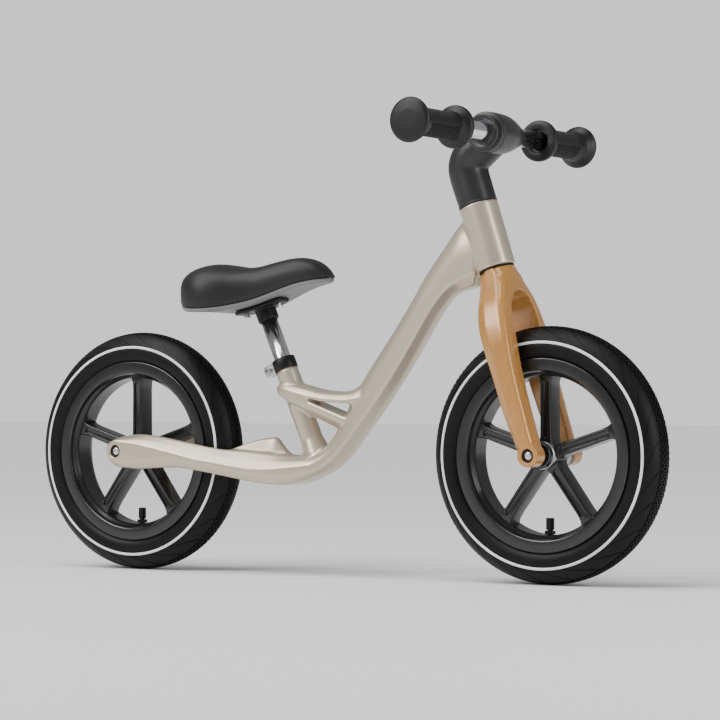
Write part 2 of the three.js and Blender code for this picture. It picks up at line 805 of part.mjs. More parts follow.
function wheel() {
  const half = [
    [rimBed, 0],
    [rimBed, rimHalfWidth - 3],
    [rimFlangeRadius, rimHalfWidth - 3],
    [rimFlangeRadius, rimHalfWidth - 0.8],
    [rimFlangeRadius - 1.4, rimHalfWidth],
    [rimLipRadius + 0.8, rimHalfWidth],
    [rimLipRadius, rimHalfWidth - 1.4],
    [rimWaistRadius, spokeDepth / 2 - 1],
    [rimWaistRadius, 0],
  ];
  const profile = [...half, ...half.slice(1, -1).map(([r, y]) => [r, -y]).reverse()];
  const rim = turned(profile, wheelSides);
  const hub = rod(hubRadius, -hubHalfWidth, hubHalfWidth, bigSides);
  const depth = spokeDepth / 2;
  const groove = block(
    [-spokeGrooveWidth / 2, depth - spokeGrooveDepth, hubRadius + 6],
    [spokeGrooveWidth / 2, depth + 1, rimWaistRadius - 6],
  );
  const spokes = [];
  for (let i = 0; i < spokeCount; i++) {
    const arm = cut(
      block([-spokeWidth / 2, -depth, hubRadius - 5], [spokeWidth / 2, depth, rimWaistRadius + 3]),
      groove,
      mirrored(groove),
    );
    spokes.push(placed(arm, new THREE.Matrix4().makeRotationY((i / spokeCount) * 2 * Math.PI)));
  }
  const pocket = hubHalfWidth - bearingWidth - gap;
  const bearingSeat = rod(bearingRadius + gap, pocket, hubHalfWidth + 5, bigSides);
  const valveHole = rodUp(valveRadius + gap, -rimBed - 6, -rimWaistRadius + 6, smallSides);
  return cut(
    union(rim, hub, ...spokes),
    rod(axleRadius + 3 + 2 * gap, -hubHalfWidth, hubHalfWidth, roundSides),
    bearingSeat,
    mirrored(bearingSeat),
    valveHole,
  );
}

function addWheel(prefix, group) {
  add(group, prefix + "_tyre", tyre(), rubber);
  add(group, prefix + "_inner_tube", innerTube(), rubber);
  add(group, prefix + "_wheel", wheel(), blackPlastic);
  const bearing = sleeve(
    bearingRadius,
    axleRadius + runningGap,
    hubHalfWidth - bearingWidth,
    hubHalfWidth,
    roundSides,
  );
  add(group, prefix + "_bearing_left", bearing, steel);
  add(group, prefix + "_bearing_right", mirrored(bearing), steel);
  const between = hubHalfWidth - bearingWidth - 2 * gap;
  add(
    group,
    prefix + "_hub_sleeve",
    sleeve(axleRadius + 3, axleRadius + runningGap, -between, between, roundSides),
    steel,
  );
  const neckEnd = -rimWaistRadius + 1;
  const capHigh = valveTop - valveLength;
  add(
    group,
    prefix + "_valve",
    union(
      rodUp(valveRadius + 2.6, -valveTop - 1.2, -valveTop, smallSides),
      rodUp(valveRadius, -valveTop - 0.5, -capHigh, smallSides),
      rodUp(valveRadius + 3.2, neckEnd, neckEnd + 4, 6),
    ),
    steel,
  );
  const capLow = -capHigh - 6;
  add(
    group,
    prefix + "_valve_cap",
    cut(
      rodUp(valveCapRadius, capLow, capLow + 14, smallSides),
      rodUp(valveRadius + gap, capLow - 1, -capHigh + gap, smallSides),
    ),
    blackPlastic,
  );
}

// The fixed parts of an axle: the axle itself, spacers, bolts and the rings round the bolt heads.
function addAxle(prefix, group, outer, inner) {
  const floor = outer - counterboreDepth;
  const end = floor - gap;
  const threadDepth = axleBoltLength + 2;
  const socket = rod(axleBoltRadius + gap, end - threadDepth, end + 5, smallSides);
  add(
    group,
    prefix + "_axle",
    cut(rod(axleRadius, -end, end, roundSides), socket, mirrored(socket)),
    steel,
  );
  const spacer = sleeve(axleRadius + 3, axleRadius + gap, hubHalfWidth + runningGap, inner - gap, roundSides);
  const headLow = floor + gap;
  const bolt = union(
    turned(
      [
        [0, headLow],
        [axleBoltHeadRadius, headLow],
        [axleBoltHeadRadius, headLow + axleBoltHeadHeight * 0.45],
        [axleBoltHeadRadius * 0.72, headLow + axleBoltHeadHeight * 0.9],
        [0, headLow + axleBoltHeadHeight],
      ],
      roundSides,
    ),
    rod(axleBoltRadius, floor - axleBoltLength, headLow + 1, smallSides),
  );
  const ring = sleeve(counterboreRadius - gap, axleBoltHeadRadius + gap, floor + gap, floor + 3.6, roundSides);
  for (const [side, turn] of [["left", (s) => s], ["right", mirrored]]) {
    add(group, prefix + "_spacer_" + side, turn(spacer), blackPlastic);
    add(group, prefix + "_axle_bolt_" + side, turn(bolt), alloy);
    add(group, prefix + "_axle_ring_" + side, turn(ring), blackPlastic);
  }
}

const rearAxle = new THREE.Group();
rearAxle.applyMatrix4(atRearAxle);
bike.add(rearAxle);
addAxle("rear", rearAxle, stayOuter, stayInner);

const frontAxle = new THREE.Group();
frontAxle.applyMatrix4(atFrontAxle);
bike.add(frontAxle);
addAxle("front", frontAxle, forkOuter, forkInner);

for (const [prefix, x] of [["rear", rearX], ["front", frontX]]) {
  const group = new THREE.Group();
  group.position.set(x, 0, tyreRadius);
  bike.add(group);
  addWheel(prefix, group);
}

// ---- seat clamp, on the seat tube axis ----
const seatFixed = new THREE.Group();
seatFixed.applyMatrix4(seatFrame);
bike.add(seatFixed);

const collarInner = seatSpigotRadius + gap;
const collarOuter = collarInner + seatClampWall;
const lugLow = 1.2;
const lugHigh = seatClampHeight - 0.6;
const lugRear = -collarOuter - 12;
const boltX = -collarOuter - 6;
const boltZ = (lugLow + lugHigh) / 2;
const seatBoltRadius = 2.5;

add(
  seatFixed,
  "seat_clamp_collar",
  cut(
    sleeveUp(collarOuter, collarInner, gap, seatClampHeight, roundSides),
    block([-collarOuter - 2, -1.2, -1], [-seatPostRadius, 1.2, seatClampHeight + 2]),
  ),
  blackPlastic,
);

function clampLug() {
  const cheek = block([lugRear, 1.2, lugLow], [-collarOuter + 4, 8.5, lugHigh]);
  const tie = block([lugRear, -1.5, lugLow], [lugRear + 2.6, 1.5, lugHigh]);
  const bolt = placed(
    rod(seatBoltRadius + gap, -20, 20, smallSides),
    new THREE.Matrix4().makeTranslation(boltX, 0, boltZ),
  );
  const collarRoom = rodUp(collarOuter + gap, -5, seatClampHeight + 5, roundSides);
  return cut(union(cheek, mirrored(cheek), tie), collarRoom, bolt);
}
add(seatFixed, "seat_clamp_lug", clampLug(), alloy);

const seatBolt = new THREE.Group();
seatBolt.position.set(boltX, 0, boltZ);
seatFixed.add(seatBolt);
const headAt = 8.5 + gap;
add(
  seatBolt,
  "seat_clamp_bolt",
  union(
    cut(rod(4.6, -headAt - 4, -headAt, roundSides), rod(2, -headAt - 6, -headAt - 1.6, 6)),
    rod(seatBoltRadius, -headAt - 1, headAt + 4.2, smallSides),
  ),
  steel,
);
add(
  seatBolt,
  "seat_clamp_nut",
  cut(rod(4.8, headAt, headAt + 4, 6), rod(seatBoltRadius + gap, headAt - 1, headAt + 5, smallSides)),
  steel,
);

// ---- saddle, which slides along the seat tube ----
const seat = new THREE.Group();
seat.applyMatrix4(seatFrame);
bike.add(seat);
add(
  seat,
  "seat_post",
  cut(
    rodUp(seatPostRadius, -seatPostBelow, seatPostAbove, roundSides),
    rodUp(seatPostRadius - seatPostWall, -seatPostBelow - 5, seatPostAbove - 6, roundSides),
  ),
  chrome,
);

// Along the saddle, as shares of its length from the rear: share of the half-width, then underside,
// height of the widest line and top, all above the top of the seat tube.
const saddleStations = [
  [0, 0.3, 87, 97, 107],
  [0.045, 0.62, 79.5, 101, 122],
  [0.13, 0.9, 74, 100, 131],
  [0.23, 1, 72.6, 97, 134.8],
  [0.33, 0.94, 73.6, 95, 132.5],
  [0.43, 0.78, 77, 96, 129.5],
  [0.53, 0.64, 82, 100, 130.5],
  [0.63, 0.55, 88.8, 106, 135],
  [0.73, 0.48, 96.5, 112, 139],
  [0.82, 0.42, 102.5, 116, 139.8],
  [0.9, 0.35, 106, 117, 135.5],
  [0.96, 0.26, 107.8, 115, 127],
  [1, 0.14, 109, 112, 116],
];

const saddleX = (share) => saddleLength * share - saddleBehind;

function cushionRing([share, width, low, side, top]) {
  const w = width * saddleHalfWidth;
  const floor = low + saddlePanThickness + gap;
  const sideHigh = Math.max(side, floor + 2);
  const half = [
    [0.45 * w, top - 0.06 * (top - sideHigh)],
    [0.8 * w, top - 0.36 * (top - sideHigh)],
    [0.97 * w, sideHigh],
    [w, floor + 1],
    [w - 2, floor],
  ];
  const at = ([y, z]) => new THREE.Vector3(saddleX(share), y, z);
  return [
    at([0, top]),
    ...half.map(at),
    ...half.map(([y, z]) => at([-y, z])).reverse(),
  ];
}

function panRing([share, width, low]) {
  const w = Math.max(width * saddleHalfWidth - 2.5, 4);
  const half = [[w, low + saddlePanThickness], [w - 1.5, low]];
  const at = ([y, z]) => new THREE.Vector3(saddleX(share), y, z);
  return [...half.map(at), ...half.map(([y, z]) => at([-y, z])).reverse()];
}

// The saddle's pieces stand level, measured from the top of the seat tube.
const saddle = new THREE.Group();
saddle.position.copy(seatTubeTop);
bike.add(saddle);

const neckTopX = -36;
const padScrewXs = [-1, 1].map((end) => neckTopX + end * (seatNeckRadius + 10.6));
const padScrewRadius = 2.4;
const boxAt = (x, y, z) => new THREE.Matrix4().makeTranslation(x, y, z);

// The underside's height at a place along the saddle.
function panLow(x) {
  const share = (x + saddleBehind) / saddleLength;
  const next = saddleStations.findIndex((s) => s[0] >= share);
  const [a, b] = [saddleStations[next - 1], saddleStations[next]];
  return a[2] + ((share - a[0]) / (b[0] - a[0])) * (b[2] - a[2]);
}

const padHalf = 17;
const padThickness = 5;
const padXs = [-72, -60, -46, -32, -18, -4];

// The plate under the pan follows the pan's slope.
function padPlate() {
  return loft(
    padXs.map((x, i) => {
      const edge = i === 0 || i === padXs.length - 1;
      const y = edge ? padHalf * 0.6 : padHalf;
      const z = panLow(x) - gap;
      return [
        new THREE.Vector3(x, y, z),
        new THREE.Vector3(x, -y, z),
        new THREE.Vector3(x, -y, z - padThickness),
        new THREE.Vector3(x, y, z - padThickness),
      ];
    }),
  );
}

// The plate with the neck that takes the post below it.
function saddleBracket() {
  const neckSolid = placed(
    turnedUp(
      [
        [0, seatNeckLow],
        [seatNeckRadius - 0.8, seatNeckLow],
        [seatNeckRadius, seatNeckLow + 1],
        [seatNeckRadius + 2.4, seatPostAbove + 12],
        [0, seatPostAbove + 12],
      ],
      roundSides,
    ),
    seatTurn,
  );
  const above = loft(
    [padXs[0] - 14, ...padXs, padXs[padXs.length - 1] + 18].map((x) => {
      const z = panLow(x) - gap;
      return [
        new THREE.Vector3(x, 60, z),
        new THREE.Vector3(x, -60, z),
        new THREE.Vector3(x, -60, z + 60),
        new THREE.Vector3(x, 60, z + 60),
      ];
    }),
  );
  const post = placed(rodUp(seatPostRadius + gap, seatNeckLow - 5, seatPostAbove + gap, roundSides), seatTurn);
  const holes = padScrewXs.map((x) => placed(rodUp(padScrewRadius + gap, -30, 30, smallSides), boxAt(x, 0, panLow(x))));
  return cut(union(padPlate(), neckSolid), above, post, ...holes);
}
add(saddle, "saddle_bracket", saddleBracket(), blackPlastic);

const padScrewHoles = padScrewXs.map((x) =>
  placed(rodUp(padScrewRadius + gap, -20, saddlePanThickness + 6, smallSides), boxAt(x, 0, panLow(x))),
);
add(saddle, "saddle_pan", cut(loft(saddleStations.map(panRing)), ...padScrewHoles), panPlastic);
add(saddle, "saddle_cushion", cut(loft(saddleStations.map(cushionRing)), ...padScrewHoles), saddleFoam);
padScrewXs.forEach((x, i) => {
  const headTop = -padThickness - 2.2;
  add(
    saddle,
    "saddle_screw_" + ["rear", "front"][i],
    placed(
      union(rodUp(4.4, headTop - 2.4, headTop, smallSides), rodUp(padScrewRadius, headTop - 1, saddlePanThickness + 4, smallSides)),
      boxAt(x, 0, panLow(x)),
    ),
    steel,
  );
});

export default bike;
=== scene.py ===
# A child's balance bike with a curved frame, an amber fork and spoked plastic wheels.
# Sizes are in millimetres in the code and become metres as each mesh is made.
import math

import bmesh
import bpy
from mathutils import Matrix, Vector


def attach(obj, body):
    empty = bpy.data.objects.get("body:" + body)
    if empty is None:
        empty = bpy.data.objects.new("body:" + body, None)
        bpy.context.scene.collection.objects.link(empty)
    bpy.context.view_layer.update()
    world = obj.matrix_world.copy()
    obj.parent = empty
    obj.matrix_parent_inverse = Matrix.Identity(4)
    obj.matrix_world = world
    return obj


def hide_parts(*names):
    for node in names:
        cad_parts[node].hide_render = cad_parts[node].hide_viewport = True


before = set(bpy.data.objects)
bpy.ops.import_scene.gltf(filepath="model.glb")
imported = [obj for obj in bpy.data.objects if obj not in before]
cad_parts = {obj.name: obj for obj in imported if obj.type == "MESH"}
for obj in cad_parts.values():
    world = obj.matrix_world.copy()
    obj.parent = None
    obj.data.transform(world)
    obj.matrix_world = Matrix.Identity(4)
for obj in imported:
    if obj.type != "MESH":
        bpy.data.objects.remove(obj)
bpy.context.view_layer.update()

MM = 0.001
AXLE_HEIGHT = 152.5
FRONT_X = 298.5
REAR_X = -298.5
WHEELS = {"front": FRONT_X, "rear": REAR_X}
DROPOUT_FACE = 60  # from the middle to the outside of a rear dropout
FORK_FACE = 57.5  # from the middle to the outside of a fork end
BOLT_DEPTH = 6  # of an axle bolt's counterbore
COUNTERBORE = 8.4
AXLE_BORE = 4.6
HEAD_TUBE_RADIUS = 23.4
BEARING_BORE = 20.7
STEERER_BORE = 15
SEAT_BORE = 10.9
GRIP_RADIUS = 16.4
TYRE_CROWN = 151.3  # radius under the tread blocks
TYRE_MIDDLE = 126.5  # radius of the middle of the tyre's section
TYRE_HALF_WIDTH = 25.9

# Places: the front axle with Z up the steerer, the handlebar's middle, the top of the seat tube.
HEAD_LEAN = Matrix.Rotation(math.radians(-18), 4, "Y")
SEAT_LEAN = Matrix.Rotation(math.radians(-23.36), 4, "Y")
UPRIGHT_AGAIN = Matrix.Rotation(math.radians(18), 4, "Y")
STEERING = Matrix.Translation((FRONT_X, 0, AXLE_HEIGHT)) @ HEAD_LEAN
HANDLEBAR = STEERING @ Matrix.Translation((51.7, 0, 385.2)) @ UPRIGHT_AGAIN
SADDLE = Matrix.Translation((-74, 0, 255))
SEAT = SADDLE @ SEAT_LEAN
REAR_AXLE = Matrix.Translation((REAR_X, 0, AXLE_HEIGHT))


# ---- shader wrapper ----
class Socket:
    """An output of a shader node, on which sums can be written."""

    def __init__(self, finish, output):
        self.finish = finish
        self.output = output

    def maths(self, operation, other):
        return self.finish.node("Math", {"operation": operation}, {0: self, 1: other})

    def __add__(self, other):
        return self.maths("ADD", other)

    __radd__ = __add__

    def __mul__(self, other):
        return self.maths("MULTIPLY", other)

    __rmul__ = __mul__

    def clear_of(self, low, high):
        """0 below low, 1 above high, smooth between."""
        return self.finish.node(
            "MapRange",
            {"interpolation_type": "SMOOTHSTEP"},
            {"Value": self, "From Min": low, "From Max": high},
        )


class Finish:
    """A material under construction around one Principled shader."""

    def __init__(self, name, colour, roughness, metallic=0.0, coat=0.0, coat_roughness=0.1):
        self.material = bpy.data.materials.new(name)
        self.material.use_nodes = True
        self.tree = self.material.node_tree
        self.shader = self.tree.nodes["Principled BSDF"]
        self.material.diffuse_color = (*colour, 1)
        for socket, value in (
            ("Base Color", (*colour, 1)),
            ("Roughness", roughness),
            ("Metallic", metallic),
            ("Coat Weight", coat),
            ("Coat Roughness", coat_roughness),
        ):
            self.shader.inputs[socket].default_value = value

    def node(self, kind, settings=None, values=None, output=0):
        made = self.tree.nodes.new("ShaderNode" + kind)
        for key, value in (settings or {}).items():
            setattr(made, key, value)
        for key, value in (values or {}).items():
            self.plug(made.inputs[key], value)
        return Socket(self, made.outputs[output])

    def plug(self, socket, value):
        if isinstance(value, Socket):
            self.tree.links.new(value.output, socket)
        else:
            socket.default_value = value

    def drive(self, name, value):
        self.plug(self.shader.inputs[name], value)

    def place(self):
        return self.node("TexCoord", output="Object")

    def noise(self, scale, detail=3.0, stretch=(1, 1, 1)):
        where = self.node("Mapping", {}, {"Vector": self.place(), "Scale": stretch})
        return self.node("TexNoise", {}, {"Vector": where, "Scale": scale, "Detail": detail})

    def mixed(self, factor, first, second):
        """Two colours mixed; 0, 6, 7 and 2 are the Mix node's colour sockets."""
        return self.node("Mix", {"data_type": "RGBA"}, {0: factor, 6: first, 7: second}, 2)

    def bumped(self, height, strength, distance):
        values = {"Height": height, "Strength": strength, "Distance": distance}
        self.drive("Normal", self.node("Bump", {}, values))


def shade(colour, factor):
    """The colour made darker or lighter, with its alpha."""
    return tuple(min(1.0, c * factor) for c in colour) + (1,)


def metallic_paint(name, colour, roughness, metallic, coat):
    finish = Finish(name, colour, roughness, metallic, coat, 0.12)
    flakes = finish.noise(900, 2).clear_of(0.35, 0.7)
    clouds = finish.noise(9, 2).clear_of(0.3, 0.7)
    tone = finish.mixed(flakes * 0.5 + clouds * 0.4, shade(colour, 0.95), shade(colour, 1.06))
    finish.drive("Base Color", tone)
    finish.drive("Roughness", clouds * 0.05 + (roughness - 0.02))
    finish.bumped(finish.noise(520, 2), 0.05, 0.0002)
    return finish.material


def brushed_lacquer(name, colour, roughness):
    finish = Finish(name, colour, roughness, 0.15, 0.5, 0.1)
    strands = finish.noise(34, 2, (6, 6, 0.4)).clear_of(0.25, 0.78)
    clouds = finish.noise(11, 2).clear_of(0.3, 0.7)
    tone = finish.mixed(strands * 0.35 + clouds * 0.35, shade(colour, 0.92), shade(colour, 1.06))
    finish.drive("Base Color", tone)
    finish.drive("Roughness", strands * 0.05 + (roughness - 0.03))
    finish.bumped(strands, 0.03, 0.0002)
    return finish.material


def moulded_plastic(name, colour, roughness, grain=1500, depth=0.15, shine=0.5):
    finish = Finish(name, colour, roughness, coat_roughness=0.2)
    finish.shader.inputs["Specular IOR Level"].default_value = shine
    skin = finish.noise(grain, 3)
    clouds = finish.noise(14, 3).clear_of(0.3, 0.7)
    finish.drive("Base Color", finish.mixed(clouds, shade(colour, 0.88), shade(colour, 1.12)))
    finish.drive("Roughness", clouds * 0.06 + (roughness - 0.03))
    finish.bumped(skin, depth, 0.0002)
    return finish.material


def bare_metal(name, colour, roughness, stretch=(1, 1, 30)):
    finish = Finish(name, colour, roughness, 1.0)
    lines = finish.noise(160, 3, stretch)
    finish.drive("Roughness", lines.clear_of(0.3, 0.7) * 0.08 + (roughness - 0.03))
    finish.bumped(lines, 0.04, 0.0001)
    return finish.material


champagne = metallic_paint("champagne_paint", (0.62, 0.53, 0.415), 0.34, 0.6, 0.3)
amber = brushed_lacquer("amber_lacquer", (0.56, 0.262, 0.07), 0.28)
stem_plastic = moulded_plastic("stem_plastic", (0.018, 0.018, 0.0195), 0.36, shine=0.45)
cover_plastic = moulded_plastic("cover_plastic", (0.02, 0.02, 0.022), 0.34, shine=0.5)
black_plastic = moulded_plastic("black_plastic", (0.006, 0.006, 0.0065), 0.42, shine=0.3)
wheel_plastic = moulded_plastic("wheel_plastic", (0.01, 0.01, 0.0108), 0.24, 900, 0.03, shine=0.65)
tyre_rubber = moulded_plastic("tyre_rubber", (0.003, 0.003, 0.0032), 0.46, 900, 0.12, shine=0.22)
grip_rubber = moulded_plastic("grip_rubber", (0.008, 0.008, 0.0085), 0.38, 1200, 0.12, shine=0.4)
knurl_rubber = moulded_plastic("knurl_rubber", (0.004, 0.004, 0.0042), 0.5, 1200, 0.3, shine=0.25)
saddle_skin = moulded_plastic("saddle_skin", (0.011, 0.011, 0.012), 0.46, 1100, 0.45, shine=0.4)
pan_plastic = moulded_plastic("pan_plastic", (0.2, 0.2, 0.205), 0.55)
stripe_white = moulded_plastic("stripe_white", (0.9, 0.9, 0.89), 0.5)
chrome = bare_metal("chrome_tube", (0.78, 0.79, 0.8), 0.14)
steel = bare_metal("dull_steel", (0.5, 0.51, 0.53), 0.32)
alloy = bare_metal("turned_alloy", (0.72, 0.72, 0.73), 0.28)


# ---- mesh helpers ----
def raw(name, verts, faces, matrix=None, smooth=True):
    """A new object from points in millimetres; matrix places them before they become metres."""
    placed = [(matrix @ Vector(v) if matrix else Vector(v)) * MM for v in verts]
    mesh = bpy.data.meshes.new(name)
    mesh.from_pydata(placed, [], faces)
    obj = bpy.data.objects.new(name, mesh)
    bpy.context.scene.collection.objects.link(obj)
    work = bmesh.new()
    work.from_mesh(mesh)
    bmesh.ops.remove_doubles(work, verts=work.verts, dist=1e-7)
    bmesh.ops.recalc_face_normals(work, faces=work.faces)
    work.to_mesh(mesh)
    work.free()
    return shaded_smooth(obj) if smooth else obj


def shaded_smooth(obj):
    obj.data.polygons.foreach_set("use_smooth", [True] * len(obj.data.polygons))
    return obj


def settled(obj):
    """The object with its modifiers made part of its mesh."""
    graph = bpy.context.evaluated_depsgraph_get()
    mesh = bpy.data.meshes.new_from_object(obj.evaluated_get(graph))
    obj.modifiers.clear()
    obj.data = mesh
    mesh.name = obj.name
    return obj


def modified(obj, kind, **settings):
    made = obj.modifiers.new(kind.lower(), kind)
    for key, value in settings.items():
        setattr(made, key, value)


def carved(obj, *tools):
    """The object with each tool cut out of it in turn; the tools are used up."""
    for tool in tools:
        modified(obj, "BOOLEAN", operation="DIFFERENCE", solver="EXACT", object=tool)
        settled(obj)
        bpy.data.objects.remove(tool)
    return obj


def joined(name, parts):
    """One object from several, which are used up."""
    work = bmesh.new()
    for part in parts:
        work.from_mesh(part.data)
        bpy.data.objects.remove(part)
    mesh = bpy.data.meshes.new(name)
    work.to_mesh(mesh)
    work.free()
    obj = bpy.data.objects.new(name, mesh)
    bpy.context.scene.collection.objects.link(obj)
    return obj


def fused(obj, voxel, rounds):
    """Overlapping solids become one skin with soft inner corners."""
    modified(obj, "REMESH", mode="VOXEL", voxel_size=voxel * MM, use_smooth_shade=True)
    modified(obj, "SMOOTH", factor=0.5, iterations=rounds)
    return settled(obj)


def soft_corners(profile, radius, steps=3):
    """The profile with each inner corner rounded."""
    made = [profile[0]]
    for before, corner, after in zip(profile, profile[1:], profile[2:]):
        p, a, b = Vector(corner), Vector(before), Vector(after)
        reach = min(radius, (a - p).length * 0.45, (b - p).length * 0.45)
        start = p + (a - p).normalized() * reach
        end = p + (b - p).normalized() * reach
        for i in range(steps + 1):
            t = i / steps
            made.append(tuple(start * (1 - t) ** 2 + p * 2 * t * (1 - t) + end * t * t))
    made.append(profile[-1])
    return made


def lathe(name, profile, matrix, sides=96, axis="Y", soft=0.0):
    """A turned piece about the local Y or Z axis from [radius, height]."""
    if soft:
        profile = soft_corners(profile, soft)
    verts, faces = [], []
    count = len(profile)
    for i in range(sides):
        c, s = math.cos(2 * math.pi * i / sides), math.sin(2 * math.pi * i / sides)
        for r, h in profile:
            verts.append((r * c, h, r * s) if axis == "Y" else (r * c, r * s, h))
    for i in range(sides):
        j = (i + 1) % sides
        for k in range(count - 1):
            faces.append((i * count + k, i * count + k + 1, j * count + k + 1, j * count + k))
    return raw(name, verts, faces, matrix)


def loft(name, rings, matrix=None):
    """A closed skin through rings of equally many points."""
    count = len(rings[0])
    verts = [p for ring in rings for p in ring]
    faces = [tuple(range(count)), tuple(range(len(verts) - count, len(verts)))]
    for i in range(len(rings) - 1):
        for k in range(count):
            n = (k + 1) % count
            faces.append((i * count + k, i * count + n, (i + 1) * count + n, (i + 1) * count + k))
    return raw(name, verts, faces, matrix)


def finer(stations, steps=4):
    """Stations with smooth steps between them."""
    made = []
    for i in range(len(stations) - 1):
        p0 = stations[max(i - 1, 0)]
        p1, p2 = stations[i], stations[i + 1]
        p3 = stations[min(i + 2, len(stations) - 1)]
        for k in range(steps):
            t = k / steps
            made.append([
                0.5 * (2 * b + (c - a) * t + (2 * a - 5 * b + 4 * c - d) * t * t
                       + (3 * b - a - 3 * c + d) * t ** 3)
                for a, b, c, d in zip(p0, p1, p2, p3)
            ])
    made.append(list(stations[-1]))
    return made


def prism(name, outline, low, high, across, matrix=None):
    """A straight prism; across turns (u, v, w) into a point, w running from low to high."""
    rings = [[across(u, v, w) for u, v in outline] for w in (low, high)]
    return loft(name, rings, matrix)


def finished(obj, body, material, slot, *nodes):
    """Gives a piece its finish and its body, and hides the CAD nodes that it replaces; slot is not
    used.
    """
    obj.data.materials.clear()
    obj.data.materials.append(material)
    if nodes:
        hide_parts(*nodes)
    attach(obj, body)
    return obj


# ---- repeated pieces ----
def copies_round_an_axle():
    """A node tree that sets copies of a piece round a circle about Y, facing out."""
    tree = bpy.data.node_groups.new("copies_round_an_axle", "GeometryNodeTree")
    face = tree.interface
    face.new_socket("Piece", in_out="INPUT", socket_type="NodeSocketGeometry")
    face.new_socket("Count", in_out="INPUT", socket_type="NodeSocketInt")
    face.new_socket("Radius", in_out="INPUT", socket_type="NodeSocketFloat")
    face.new_socket("First angle", in_out="INPUT", socket_type="NodeSocketFloat")
    face.new_socket("Centre", in_out="INPUT", socket_type="NodeSocketVector")
    face.new_socket("Finish", in_out="INPUT", socket_type="NodeSocketMaterial")
    face.new_socket("Ring", in_out="OUTPUT", socket_type="NodeSocketGeometry")
    link = tree.links.new
    sizes = tree.nodes.new("NodeGroupInput")
    circle = tree.nodes.new("GeometryNodeMeshCircle")
    link(sizes.outputs["Count"], circle.inputs["Vertices"])
    link(sizes.outputs["Radius"], circle.inputs["Radius"])
    turn = tree.nodes.new("ShaderNodeCombineXYZ")
    turn.inputs["X"].default_value = math.pi / 2
    link(sizes.outputs["First angle"], turn.inputs["Y"])
    upright = tree.nodes.new("GeometryNodeTransform")
    link(circle.outputs["Mesh"], upright.inputs["Geometry"])
    link(turn.outputs["Vector"], upright.inputs["Rotation"])
    out = tree.nodes.new("FunctionNodeAlignRotationToVector")
    out.axis = "Z"
    out.pivot_axis = "Y"
    where = tree.nodes.new("GeometryNodeInputPosition")
    link(where.outputs["Position"], out.inputs["Vector"])
    copies = tree.nodes.new("GeometryNodeInstanceOnPoints")
    link(upright.outputs["Geometry"], copies.inputs["Points"])
    link(sizes.outputs["Piece"], copies.inputs["Instance"])
    link(out.outputs["Rotation"], copies.inputs["Rotation"])
    moved = tree.nodes.new("GeometryNodeTransform")
    link(copies.outputs["Instances"], moved.inputs["Geometry"])
    link(sizes.outputs["Centre"], moved.inputs["Translation"])
    real = tree.nodes.new("GeometryNodeRealizeInstances")
    link(moved.outputs["Geometry"], real.inputs["Geometry"])
    coat = tree.nodes.new("GeometryNodeSetMaterial")
    link(real.outputs["Geometry"], coat.inputs["Geometry"])
    link(sizes.outputs["Finish"], coat.inputs["Material"])
    result = tree.nodes.new("NodeGroupOutput")
    link(coat.outputs["Geometry"], result.inputs["Ring"])
    return tree


RING_TREE = copies_round_an_axle()


def ring_of(obj, count, radius, first_angle, centre, material):
    added = obj.modifiers.new("ring", "NODES")
    added.node_group = RING_TREE
    names = {item.name: item.identifier for item in RING_TREE.interface.items_tree}
    added[names["Count"]] = count
    added[names["Radius"]] = radius * MM
    added[names["First angle"]] = math.radians(first_angle)
    added[names["Centre"]] = tuple(v * MM for v in centre)
    added[names["Finish"]] = material
    return settled(obj)


# ---- frame ----
# Down tube: the upper line's x and z, the lower line's x and z, added half width, flat face.
TUBE = [
    [205, 441, 208, 356, 0.5, 9],
    [181, 431, 190, 350.5, 1, 8],
    [157, 402, 177, 347, 0.5, 6],
    [133, 371.5, 164.5, 339, 0, 5],
    [115, 344, 148, 320, 0, 5],
    [96, 316.5, 130, 293, 0, 5],
    [74, 286.5, 108, 260, 0, 5],
    [52, 257.5, 87, 230.5, 0, 5],
    [33, 229, 64, 201.5, 0.5, 6],
    [18, 203, 40, 174.5, 1, 7],
    [8, 185, 26, 158.5, 1.5, 8],
    [-2, 170.5, 10, 142.5, 2.5, 10],
    [-14, 159.5, -9, 129.5, 4, 12],
    [-29, 152, -30, 121, 6, 15],
    [-46, 149, -48, 115.3, 9, 18],
    [-64, 148.5, -67, 112.2, 12.5, 21],
]
# Chain stays: x, how far in from the dropout face, and the heights of their five corners.
STAYS = [
    [-30, 34.5, 150, 137, 131, 121],
    [-60, 28, 148.5, 134, 121.5, 112.5],
    [-90, 21.5, 151, 131.5, 123.5, 113.5],
    [-120, 16, 154, 134, 127.5, 118],
    [-150, 11.5, 156, 139.5, 133, 123.5],
    [-180, 8, 160.5, 144, 137.5, 128.5],
    [-210, 5, 166, 151, 141, 132.5],
    [-240, 2.5, 171, 157.5, 140.5, 131.5],
    [-270, 1, 174, 163.5, 138, 130.3],
    [-298.5, 0, 170.5, 166.5, 138.5, 132.5],
    [-311, 0, 164, 160.5, 145, 140],
]
# Fin ahead of the rear tyre: x, its top, half width at the top and at the foot.
FIN = [
    [-142, 157, 27, 45],
    [-126, 163.5, 19, 41],
    [-110, 168.5, 12, 36],
    [-96, 170.5, 7, 31],
    [-88, 170.5, 5.6, 26],
    [-80, 161.5, 5.6, 22],
    [-71, 152.5, 6, 18],
    [-60, 148, 8, 15],
]
